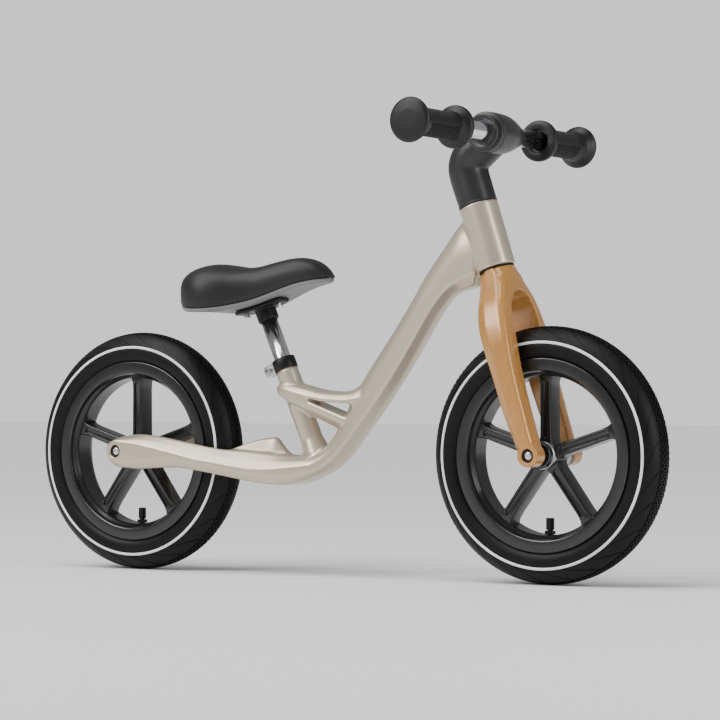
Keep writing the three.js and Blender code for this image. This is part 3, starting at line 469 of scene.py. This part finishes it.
# Bridge from the seat tube: x, ridge, upper and lower side line, keel, half width.
BRIDGE = [
    [-84, 235, 233.5, 229, 227, 9],
    [-76, 238.5, 234.5, 224, 221.5, 16],
    [-62, 240, 231.5, 217.5, 212, 19],
    [-45, 238, 226.5, 211.5, 204, 19],
    [-20, 232, 221, 203.5, 193.5, 19],
    [5, 229.5, 218.8, 194.5, 183, 19],
    [28, 231.5, 218.5, 186, 173, 19],
    [48, 246, 222, 196, 188, 18],
]
BRIDGE_SLOT = [(-34, 220.2), (-14, 215.8), (31, 213), (34, 208.5), (29.5, 198.5), (23.5, 196.4),
               (-34, 217.2)]


def mirrored_ring(half, x):
    """A closed ring at x from the left half of its outline."""
    left = [(x, y, z) for y, z in half]
    return left + [(x, -y, z) for y, z in reversed(half)]


def tube_ring(station):
    """The down tube's section: a flat front face between full cheeks, half width 19.5 and up."""
    back_x, back_z, low_x, low_z, extra, face = station
    width = 19.5 + extra
    half = [(0.6 * (1 - math.cos(math.radians(a))), 0.985 * width * math.sin(math.radians(a)))
            for a in range(9, 90, 9)]
    half += [(0.6, 0.985 * width), (0.85, width), (1, face)]
    left = [(back_x + u * (low_x - back_x), y, back_z + u * (low_z - back_z)) for u, y in half]
    return [(back_x, 0, back_z)] + left + [(x, -y, z) for x, y, z in reversed(left)]


def stay_ring(station):
    x, inset, inner_top, top, low, keel = station
    y = DROPOUT_FACE - inset
    return mirrored_ring([(y - 15, inner_top), (y - 5, inner_top + (top - inner_top) * 0.55),
                          (y, top), (y, low), (y - 7, keel)], x)


def fin_ring(station):
    x, top, top_half, foot_half = station
    foot = 134
    side = top_half + (foot_half - top_half) * 0.28
    half = [(top_half * 0.55, top), (top_half, top - 1.5), (side, foot + (top - foot) * 0.55)]
    return mirrored_ring(half + [(foot_half, foot + 8), (foot_half, foot)], x)


def bridge_ring(station):
    x, ridge, side_top, side_low, keel, half_width = station
    drop = ridge - side_top
    half = [(half_width * 0.35, ridge - drop * 0.1), (half_width * 0.8, ridge - drop * 0.5)]
    half += [(half_width, side_top), (half_width, side_low), (half_width * 0.45, keel)]
    return mirrored_ring(half, x)


def along_y(u, v, w):
    return (u, w, v)


def cylinder(name, radius, low, high, matrix, axis="Y", sides=64):
    return lathe(name, [(0, low), (radius, low), (radius, high), (0, high)], matrix, sides, axis)


def bolt_bores(place, face):
    """Cutters for an axle's bore and the two counterbores of its bolts."""
    reach = 80
    return [
        cylinder("bore", COUNTERBORE, face - BOLT_DEPTH, reach, place),
        cylinder("bore", COUNTERBORE, -reach, BOLT_DEPTH - face, place),
        cylinder("bore", AXLE_BORE, -reach, reach, place),
    ]


def wheel_slot():
    """Room for the rear tyre between the stays, seen from above, with a round nose."""
    nose = REAR_X + AXLE_HEIGHT + 10
    outline = [(REAR_X - 40, -39), (REAR_X + 10, -39), (nose - 60, -32.5)]
    outline += [(nose - 24 * (1 - math.cos(math.radians(a))), 32.2 * math.sin(math.radians(a)))
                for a in range(-80, 81, 10)]
    outline += [(nose - 60, 32.5), (REAR_X + 10, 39), (REAR_X - 40, 39)]
    return prism("slot", outline, AXLE_HEIGHT - 60, AXLE_HEIGHT + 60, lambda u, v, w: (u, v, w))


def crown_room():
    return lathe("room", [(0, 150), (50, 150), (45.5, 190), (37.4, 212), (24.4, 233.2), (0, 233.2)],
                 STEERING, 64, "Z")


def main_frame():
    bridge = carved(loft("bridge", [bridge_ring(s) for s in finer(BRIDGE)]),
                    prism("slot", BRIDGE_SLOT, -60, 60, along_y))
    parts = [
        loft("tube", [tube_ring(s) for s in finer(TUBE)]),
        loft("stays", [stay_ring(s) for s in finer(STAYS)]),
        loft("fin", [fin_ring(s) for s in finer(FIN)]),
        bridge,
        cylinder("seat_tube", 14.2, -112, 0, SEAT, "Z"),
        lathe("seat_tube_foot", [(0, -116), (18.5, -116), (14.2, -94), (0, -94)], SEAT, 64, "Z"),
    ]
    body = joined("main_frame_skin", parts)
    fused(body, 1.5, 2)
    carved(body, wheel_slot(), crown_room())
    body = joined("frame_body", [
        body,
        cylinder("pad", 13.1, 39, DROPOUT_FACE, REAR_AXLE),
        cylinder("pad", 13.1, -DROPOUT_FACE, -39, REAR_AXLE),
        cylinder("head_tube", HEAD_TUBE_RADIUS, 233.4, 313.6, STEERING, "Z", 96),
    ])
    fused(body, 1.42, 5)
    carved(
        body,
        *bolt_bores(REAR_AXLE, DROPOUT_FACE),
        cylinder("bore", BEARING_BORE, 200, 241.5, STEERING, "Z"),
        cylinder("bore", BEARING_BORE, 305.5, 330, STEERING, "Z"),
        cylinder("bore", STEERER_BORE, 200, 330, STEERING, "Z"),
        cylinder("bore", SEAT_BORE, -113, 20, SEAT, "Z"),
    )
    shaded_smooth(body)
    finished(body, "frame", champagne, "champagne_paint", "main_frame")
    sleeve = [(SEAT_BORE, -1), (12.2, -1), (12.2, 14), (SEAT_BORE, 14), (SEAT_BORE, -1)]
    finished(lathe("seat_spigot", sleeve, SEAT, 64, "Z"), "frame", champagne, "champagne_paint")


main_frame()

# ---- fork ----
# Fork: height up the steerer, half width, front and rear depth in the middle and at the sides.
FORK = [
    [-4, 57.5, 11.5, 12.5, 11.5, 12.5],
    [20, 57.5, 11.8, 14.5, 11.8, 14.5],
    [60, 57.5, 12.6, 18.2, 12.6, 18.2],
    [105, 57.2, 14.2, 19, 14.2, 19],
    [135, 56.5, 17, 20.5, 17, 20.5],
    [160, 52.5, 19.5, 22, 18.5, 21.5],
    [180, 47, 22, 22, 19, 20],
    [195, 41, 23, 21, 18.5, 17.5],
    [210, 32, 22.8, 20.5, 16.5, 16],
    [221, 27, 22.8, 21.8, 15.5, 15.5],
    [231.1, 22.4, 22.4, 22.4, 8.5, 8.5],
]


def fork_ring(station):
    height, outer, front_mid, rear_mid, front, rear = station
    half = [
        (0.42 * outer, front_mid + (front - front_mid) * 0.22),
        (0.8 * outer, front_mid + (front - front_mid) * 0.75),
        (outer - 3, front - 2),
        (outer, front * 0.62),
        (outer, -rear * 0.45),
        (outer - 6, -rear),
        (0.45 * outer, -rear_mid + (rear_mid - rear) * 0.22),
    ]
    left = [(x, y, height) for y, x in half]
    return ([(front_mid, 0, height)] + left + [(-rear_mid, 0, height)]
            + [(x, -y, z) for x, y, z in reversed(left)])


def fork_arch():
    top, inner = 199, 31
    spring = top - inner - 6
    outline = [(-36, -40), (36, -40), (36, 60), (inner + 1.5, spring - 30)]
    for a in range(0, 181, 6):
        c, s = math.cos(math.radians(a)), math.sin(math.radians(a))
        outline.append((inner * c, spring + (top - spring) * s))
    outline += [(-inner - 1.5, spring - 30), (-36, 60)]
    return prism("arch", outline, -60, 60, lambda u, v, w: (w, u, v), STEERING)


def fork():
    legs = carved(loft("legs", [fork_ring(s) for s in finer(FORK)], STEERING), fork_arch())
    body = joined("fork_body", [
        legs,
        cylinder("end", 13.6, 36, FORK_FACE, STEERING),
        cylinder("end", 13.6, -FORK_FACE, -36, STEERING),
    ])
    fused(body, 1.3, 5)
    carved(body, *bolt_bores(STEERING, FORK_FACE))
    shaded_smooth(body)
    finished(body, "steering", amber, "amber_paint", "fork")
    steerer = [(10.3, 228), (12.7, 228), (12.7, 366), (10.3, 366), (10.3, 228)]
    finished(lathe("steerer_tube", steerer, STEERING, 48, "Z"), "steering", steel, "steel")


fork()

# ---- stem and handlebar ----
# Stem: forward of the steerer, height, lean of the section in degrees, radius.
NECK = [
    [0, 314.4, 0, HEAD_TUBE_RADIUS],
    [-0.5, 335.8, 0, 23.8],
    [-0.5, 353.8, 5, 24],
    [3, 364.5, 27, 24.6],
    [13, 373.5, 52, 25],
    [28, 379.5, 70, 24],
    [46, 382.5, 84, 21],
]


def neck_ring(station):
    x, z, lean, radius = station
    c, s = math.cos(math.radians(lean)), math.sin(math.radians(lean))
    ring = []
    for i in range(64):
        a = 2 * math.pi * i / 64
        along = radius * math.cos(a)
        ring.append((x + along * c, radius * math.sin(a), z - along * s))
    return ring


stem = fused(loft("stem_neck", [neck_ring(s) for s in finer(NECK, 6)], STEERING), 1.0, 8)
finished(stem, "steering", stem_plastic, "grey_plastic", "stem")
seam = [(22.6, 313.9), (23.5, 314.1), (23.9, 314.7), (23.9, 316), (22.9, 316.4)]
finished(lathe("stem_skirt", seam, STEERING, 96, "Z"), "steering", stem_plastic, "grey_plastic")

bar_tube = [(9, -203.5), (11, -203.5), (11, 203.5), (9, 203.5), (9, -203.5)]
finished(lathe("handlebar_tube", bar_tube, HANDLEBAR, 96), "steering", chrome, "chrome_tube",
         "handlebar")
ring = [(11.2, -39.8), (20.4, -39.8), (21.3, -38.9), (21.3, -35), (20.4, -34.4), (20.4, -33.6),
        (24, -33), (24.4, -32.2), (24.4, -28.3), (22.8, -26.8), (11.2, -26.8), (11.2, -39.8)]
finished(lathe("bar_clamp_end", ring, HANDLEBAR, 96, soft=0.5), "steering", cover_plastic,
         "black_plastic", "bar_clamp_ring")
dome = [(11.3, -26.5), (23.8, -26.5), (24.7, -24), (24.8, -14), (24.5, -4), (24, 3), (22.8, 11),
        (20.8, 19), (18.4, 27), (15.9, 34), (13.4, 40.5), (12.4, 42), (11.3, 42), (11.3, -26.5)]
finished(lathe("bar_clamp_dome", dome, HANDLEBAR, 96, soft=1.2), "steering", cover_plastic,
         "grey_plastic", "bar_clamp_cover")


def diamond(size, height):
    """One raised diamond of the grip's knurling, lying on z = 0."""
    outline = [(-size, 0), (0, -size), (size, 0), (0, size)]
    levels = ((1, -0.6), (1, 0), (0.45, height))
    return loft("diamond", [[(x * k, y * k, z) for x, y in outline] for k, z in levels])


def keep_panels(obj, centre):
    """Keeps the diamonds of the lower front panel and of the upper rear one."""
    work = bmesh.new()
    work.from_mesh(obj.data)
    smooth = []
    for face in work.faces:
        middle = face.calc_center_median() / MM
        angle = math.degrees(math.atan2(middle.z - centre.z, middle.x - centre.x))
        off = min(abs((angle - turn + 180) % 360 - 180) for turn in (-48, 132))
        if off > 42:
            smooth.append(face)
    bmesh.ops.delete(work, geom=smooth, context="FACES")
    work.to_mesh(obj.data)
    work.free()


# From the outer end, over the end flange, the hand's part and the inner flange, into the bore.
GRIP = [
    (0, -208.7), (12, -208.5), (22.2, -207.5), (25.2, -206.2), (26.2, -204.2), (25.6, -202.3),
    (22.5, -199), (18.6, -195), (16.8, -191), (GRIP_RADIUS, -187), (GRIP_RADIUS, -115),
    (17.4, -111.5), (21, -108.5), (24.4, -106.6), (25.4, -104.5), (25.4, -101.2), (24.6, -99.6),
    (23.4, -99), (21.8, -98.9), (21.4, -98.3), (14.6, -98.3), (14.4, -101.5), (11.2, -101.5),
    (11.2, -203.4), (0, -203.4),
]
KNURL_ROWS = 24
KNURL_ROW_STEP = 2.65
KNURL_START = -180
DIAMONDS_ROUND = 20
for side, sign in (("right", 1), ("left", -1)):
    flip = HANDLEBAR @ Matrix.Scale(sign, 4, (0, 1, 0))
    body = lathe("grip_sleeve_" + side, GRIP, flip, 96, soft=0.6)
    finished(body, "steering", grip_rubber, "grip_rubber", "grip_" + side)
    centre = HANDLEBAR.translation
    rows = []
    for row in range(KNURL_ROWS):
        middle = (centre.x, sign * (KNURL_START + row * KNURL_ROW_STEP), centre.z)
        turn = 180 / DIAMONDS_ROUND * (row % 2)
        ring = ring_of(diamond(2.5, 0.5), DIAMONDS_ROUND, GRIP_RADIUS, turn, middle, knurl_rubber)
        rows.append(ring)
    knurl = joined("grip_knurl_" + side, rows)
    keep_panels(knurl, centre)
    finished(knurl, "steering", knurl_rubber, "grip_rubber")

# ---- wheels ----
def tyre_profile():
    """From the crown to the bead, closed round the inside."""
    outside = []
    for a in range(0, 100, 6):
        c, s = math.cos(math.radians(a)), math.sin(math.radians(a))
        outside.append((TYRE_MIDDLE + (TYRE_CROWN - TYRE_MIDDLE) * c, TYRE_HALF_WIDTH * s))
    outside += [(119.5, 25.2), (117.5, 24.2), (115.2, 22), (114, 20.7), (106.6, 20.7)]
    inside = [(106.6, 15.7), (112, 18), (120, 21), (130, 21), (140, 15.5), (146.5, 8), (147.6, 0)]
    half = outside + inside
    return half + [(r, -y) for r, y in reversed(half[1:])]


TREAD_REPEATS = 26


def tread_patch(low, high, start, end, sweep, height, fine):
    """A raised patch of tread between two angles of the section and two shares of the pitch.

    sweep leans it round the tyre from low to high, and the ring's point lies on the crown.
    """
    pitch = 2 * math.pi / TREAD_REPEATS
    across, around = fine
    verts, faces = [], []
    for level, lift in ((0, -0.8), (1, height)):
        trim = 0.004 * level
        for i in range(across + 1):
            u = i / across
            a = math.radians(low + (high - low) * u)
            for k in range(around + 1):
                v = k / around
                turn = (start + trim + (end - start - 2 * trim) * v + sweep * u ** 1.5) * pitch
                radius = TYRE_MIDDLE + (TYRE_CROWN - TYRE_MIDDLE + lift) * math.cos(a)
                side = (TYRE_HALF_WIDTH + lift) * math.sin(a)
                verts.append((radius * math.sin(turn), side, radius * math.cos(turn) - TYRE_CROWN))
    step = around + 1
    size = (across + 1) * step
    for i in range(across):
        for k in range(around):
            c = size + i * step + k
            faces.append((c, c + 1, c + step + 1, c + step))
    edge = list(range(step)) + [i * step + around for i in range(1, across + 1)]
    edge += [across * step + k for k in range(around - 1, -1, -1)]
    edge += [i * step for i in range(across - 1, 0, -1)]
    for one, two in zip(edge, edge[1:] + edge[:1]):
        faces.append((one, two, two + size, one + size))
    faces.append(tuple(reversed(edge)))
    return raw("patch", verts, faces, smooth=False)


def tread_slice():
    """One pitch of tread: small blocks on the crown, long swept panels on the shoulders."""
    block_rows = ((1, 6.5), (8, 14), (15.5, 22))
    patches = []
    for sign, shift in ((1, 0.0), (-1, 0.5)):
        patches.append(tread_patch(sign * 25, sign * 70, shift, shift + 0.94, 1.1, 0.7, (8, 6)))
        for i in range(5):
            for row, (low, high) in enumerate(block_rows):
                start = shift + i / 5 + 0.1 * (row % 2)
                end = start + 0.145
                block = tread_patch(sign * low, sign * high, start, end, 0.03, 1.15, (1, 1))
                patches.append(block)
    return joined("tread_slice", patches)


RIM_HALF = [
    (105.6, 0), (105.6, 20.6), (114.6, 20.8), (114.6, 23.2), (113.6, 24), (101.4, 24), (99.9, 23.4),
    (99.3, 22), (98.2, 19), (95.6, 15.5), (94, 13), (93.8, 9), (93.8, 0),
]
OTHER_RIM_HALF = [(r, -y) for r, y in reversed(RIM_HALF[1:-1])]
RIM = soft_corners(RIM_HALF + OTHER_RIM_HALF + [RIM_HALF[0]], 0.5, 2)


def spoke():
    """One spoke from the hub to the rim with a long round-ended groove on each face."""
    chamfer = 1.2
    arm = []
    for z, x, y in ((8, 9.5, 13.5), (16, 8.4, 12.6), (22, 7.4, 12.25), (80, 7, 12.25),
                    (88, 7.6, 12.4), (95.5, 10.5, 12.8)):
        front = [(-x, -y + chamfer, z), (-x + chamfer, -y, z)]
        front += [(x - chamfer, -y, z), (x, -y + chamfer, z)]
        arm.append(front + [(-u, -v, z) for u, v, z in front])
    body = loft("spoke", arm)
    groove = 4
    outline = []
    for end, first in ((84, 0), (24, 180)):
        for a in range(first, first + 181, 20):
            c, s = math.cos(math.radians(a)), math.sin(math.radians(a))
            outline.append((groove * c, end + groove * s))
    for low, high in ((-20, -9.2), (9.2, 20)):
        carved(body, prism("groove", outline, low, high, along_y))
    sharp = math.radians(40)
    modified(body, "BEVEL", width=0.5 * MM, segments=2, limit_method="ANGLE", angle_limit=sharp)
    return settled(body)


HUB = [(7.9, -29.8), (13.3, -29.8), (14.6, -29.8), (15.6, -29), (16, -27.5), (16, 27.5), (15.6, 29),
       (14.6, 29.8), (13.3, 29.8), (7.9, 29.8), (7.9, -29.8)]
SPOKES = 5
FIRST_SPOKE = -18  # degrees, which leaves a window over the valve
AT_THE_AXLE = 0.001  # a radius just large enough for each spoke to face out
WHEEL_SIDES = 160
HUB_BARRELS = {"barrel_left": (12.8, 22), "barrel_right": (-22, -12.8)}

for name, x in WHEELS.items():
    body = name + "_wheel_set"
    centre = (x, 0, AXLE_HEIGHT)
    hub_frame = Matrix.Translation(centre)
    rubber = lathe(name + "_tyre_carcass", tyre_profile(), hub_frame, WHEEL_SIDES)
    tread = ring_of(tread_slice(), TREAD_REPEATS, TYRE_CROWN, 0, centre, tyre_rubber)
    tyre = joined(name + "_tyre_rubber", [rubber, tread])
    finished(tyre, body, tyre_rubber, "tyre_rubber", name + "_tyre")
    for side, sign in (("left", 1), ("right", -1)):
        band = [(131.4, 25.2 * sign), (131.5, 25.75 * sign), (133, 25.7 * sign),
                (134.5, 25.45 * sign), (134.6, 24.4 * sign)]
        stripe = lathe(name + "_stripe_" + side, band, hub_frame, WHEEL_SIDES)
        finished(stripe, body, stripe_white, "tyre_rubber")
    rim = lathe(name + "_rim", RIM, hub_frame, WHEEL_SIDES)
    spokes = ring_of(spoke(), SPOKES, AT_THE_AXLE, FIRST_SPOKE, centre, wheel_plastic)
    hub = lathe(name + "_hub", HUB, hub_frame, 96)
    wheel = joined(name + "_wheel_moulding", [rim, spokes, hub])
    finished(wheel, body, wheel_plastic, "wheel_plastic", name + "_wheel")
    for part, (low, high) in HUB_BARRELS.items():
        band = [(16, low), (16.4, low), (16.4, high), (16, high)]
        finished(lathe(name + "_hub_" + part, band, hub_frame, 64), body, steel, "steel")

# ---- axle bolts ----
for name, body, place, face in (
    ("front", "steering", STEERING, FORK_FACE),
    ("rear", "frame", REAR_AXLE, DROPOUT_FACE),
):
    for side, sign in (("left", 1), ("right", -1)):
        flip = place @ Matrix.Scale(sign, 4, (0, 1, 0))
        seat = face - BOLT_DEPTH
        head = [(0, seat), (5.3, seat + 0.3), (5.3, seat + 2), (4.9, seat + 3.1),
                (3.6, seat + 3.9), (2.6, seat + 4.1), (2.2, seat + 3.9), (1.9, seat + 2.6),
                (0, seat + 2.5)]
        finished(lathe(name + "_bolt_head_" + side, head, flip, 48, soft=0.3), body, alloy, "alloy",
                 name + "_axle_bolt_" + side)
        washer = [(5.6, seat + 0.3), (8.1, seat + 0.3), (8.1, seat + 3.2), (7.6, seat + 3.6),
                  (6, seat + 3.6), (5.6, seat + 3.2), (5.6, seat + 0.3)]
        finished(lathe(name + "_bolt_ring_" + side, washer, flip, 48), body, black_plastic,
                 "black_plastic", name + "_axle_ring_" + side)

# ---- seat ----
post = [(8.5, -74), (10.5, -74), (10.5, 76), (8.5, 76), (8.5, -74)]
finished(lathe("seat_post_tube", post, SEAT, 96, "Z"), "seat", chrome, "chrome_tube", "seat_post")
collar = [(12.5, 0.3), (14.5, 0.3), (14.9, 1), (14.9, 14.2), (14.3, 15), (12.2, 15), (11.2, 15.8),
          (11.2, 14), (12.5, 14), (12.5, 0.3)]
finished(lathe("seat_collar", collar, SEAT, 96, "Z"), "frame", black_plastic, "black_plastic",
         "seat_clamp_collar")

SADDLE_LENGTH = 211
SADDLE_BACK = -145
SADDLE_HALF_WIDTH = 64
# Share of the length, share of the width, and the heights of pan, widest line and crown.
SADDLE_STATIONS = [
    [0, 0.3, 87, 97, 107],
    [0.045, 0.62, 79.5, 101, 122],
    [0.13, 0.9, 74, 100, 131],
    [0.23, 1, 72.6, 97, 134.8],
    [0.33, 0.94, 73.6, 95, 132.5],
    [0.43, 0.78, 77, 96, 129.5],
    [0.53, 0.64, 82, 100, 130.5],
    [0.63, 0.55, 88.8, 106, 135],
    [0.73, 0.48, 96.5, 112, 139],
    [0.82, 0.42, 102.5, 116, 139.8],
    [0.9, 0.35, 106, 117, 135.5],
    [0.96, 0.26, 107.8, 115, 127],
    [1, 0.14, 109, 112, 116],
]


def cushion_ring(station):
    share, width, low, side, top = station
    w = width * SADDLE_HALF_WIDTH
    floor = low + 4.8
    side = max(side, floor + 2)
    x = SADDLE_LENGTH * share + SADDLE_BACK
    half = []
    for a in range(0, 91, 10):
        c, s = math.cos(math.radians(a)), math.sin(math.radians(a))
        half.append((w * s ** 0.85 if a else 0, side + (top - side) * c ** 0.8))
    half[-1] = (w, side)
    half += [(w * 0.992, side - (side - floor) * 0.35), (w * 0.985, floor + 2.2)]
    half += [(w - 1.8, floor + 0.4), (w - 4, floor)]
    left = [(x, y, z) for y, z in half]
    return left + [(x, -y, z) for x, y, z in reversed(left[1:])]


def pan_ring(station):
    share, width, low = station[:3]
    w = max(width * SADDLE_HALF_WIDTH - 2.5, 4)
    x = SADDLE_LENGTH * share + SADDLE_BACK
    half = [(w, low + 4.5), (w - 0.3, low + 1.5), (w - 2, low), (w * 0.5, low + 0.8)]
    left = [(x, y, z) for y, z in half]
    return left + [(x, -y, z) for x, y, z in reversed(left)]


cushion = loft("saddle_pad", [cushion_ring(s) for s in finer(SADDLE_STATIONS, 5)], SADDLE)
modified(cushion, "SMOOTH", factor=0.4, iterations=2)
settled(cushion)
finished(cushion, "seat", saddle_skin, "saddle_foam", "saddle_cushion")
pan = loft("saddle_base", [pan_ring(s) for s in finer(SADDLE_STATIONS, 5)], SADDLE)
finished(pan, "seat", pan_plastic, "pan_plastic", "saddle_pan")


def pan_low(x):
    """Height of the pan's underside at x."""
    share = (x - SADDLE_BACK) / SADDLE_LENGTH
    for a, b in zip(SADDLE_STATIONS, SADDLE_STATIONS[1:]):
        if share <= b[0]:
            return a[2] + (b[2] - a[2]) * (share - a[0]) / (b[0] - a[0])
    return SADDLE_STATIONS[-1][2]


def bracket():
    plate = []
    for i in range(15):
        x = -72 + 68 * i / 14
        half = 17 * (1 - 0.4 * abs(2 * i / 14 - 1) ** 6)
        z = pan_low(x) - 0.3
        plate.append([(x, -half, z), (x, half, z), (x, half, z - 5), (x, -half, z - 5)])
    neck = [(0, 67.6), (12.4, 67.6), (13.4, 68.6), (13.4, 84), (16, 92), (0, 92)]
    turned = lathe("neck", neck, SEAT_LEAN, 64, "Z")
    body = joined("bracket_parts", [loft("plate", plate), turned])
    body.data.transform(Matrix.Translation(SADDLE.translation * MM))
    body.name = "saddle_bracket_plate"
    return fused(body, 0.9, 3)


finished(bracket(), "seat", black_plastic, "black_plastic", "saddle_bracket")

# ---- carried-over nodes ----
NODE_FINISHES = {
    "inner_tube": tyre_rubber,
    "spacer": black_plastic,
    "valve": black_plastic,
    "crown_race": black_plastic,
    "bearing_left": black_plastic,
    "bearing_right": black_plastic,
    "lug": alloy,
}
for node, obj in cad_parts.items():
    finish = steel
    for key, material in NODE_FINISHES.items():
        if key in node:
            finish = material
    for place in obj.material_slots:
        place.material = finish

# ---- floor, light and camera ----
floor_finish = Finish("floor_paint", (0.95, 0.95, 0.95), 0.9)
floor_finish.drive("Roughness", floor_finish.noise(3).clear_of(0.2, 0.8) * 0.05 + 0.87)
FLOOR_HALF = 20000
corners = [(x * FLOOR_HALF, y * FLOOR_HALF, 0) for x, y in ((-1, -1), (1, -1), (1, 1), (-1, 1))]
floor = raw("floor", corners, [(0, 1, 2, 3)])
floor.data.materials.append(floor_finish.material)

# The backdrop is brighter to look at than it is as a light, so that dark plastics stay dark.
world = bpy.data.worlds.new("studio")
bpy.context.scene.world = world
world.use_nodes = True
tree = world.node_tree
room_light = tree.nodes["Background"]
room_light.inputs["Color"].default_value = (0.29, 0.29, 0.295, 1)
backdrop = tree.nodes.new("ShaderNodeBackground")
backdrop.inputs["Color"].default_value = (0.98, 0.98, 0.98, 1)
seen = tree.nodes.new("ShaderNodeLightPath")
chosen = tree.nodes.new("ShaderNodeMixShader")
tree.links.new(seen.outputs["Is Camera Ray"], chosen.inputs["Fac"])
tree.links.new(room_light.outputs["Background"], chosen.inputs[1])
tree.links.new(backdrop.outputs["Background"], chosen.inputs[2])
tree.links.new(chosen.outputs["Shader"], tree.nodes["World Output"].inputs["Surface"])


def aimed(name, light, place, target):
    obj = bpy.data.objects.new(name, light)
    obj.location = place
    obj.rotation_euler = (Vector(target) - Vector(place)).to_track_quat("-Z", "Y").to_euler()
    bpy.context.scene.collection.objects.link(obj)


def softbox(name, place, target, size, power):
    light = bpy.data.lights.new(name, "AREA")
    light.shape = "RECTANGLE"
    light.size, light.size_y = size
    light.energy = power
    aimed(name, light, place, target)


sun = bpy.data.lights.new("soft_sun", "SUN")
sun.energy = 2.25
sun.angle = math.radians(50)
aimed("soft_sun", sun, (-0.9, -1.2, 3.2), (0, 0, 0))
softbox("key", (-1.4, -2.4, 1.9), (0, 0, 0.3), (1.4, 1.0), 45)
softbox("side", (2.6, -0.4, 1.0), (0.1, 0, 0.3), (0.5, 1.6), 26)

camera = bpy.data.cameras.new("camera")
camera.lens = 138.475
camera.sensor_width = 36
camera.clip_end = 100
eye = bpy.data.objects.new("camera", camera)
eye.location = (1.8472, -2.8825, 0.2156)
eye.rotation_euler = Vector((-0.53244, 0.84634, 0.01503)).to_track_quat("-Z", "Y").to_euler()
bpy.context.scene.collection.objects.link(eye)
bpy.context.scene.camera = eye
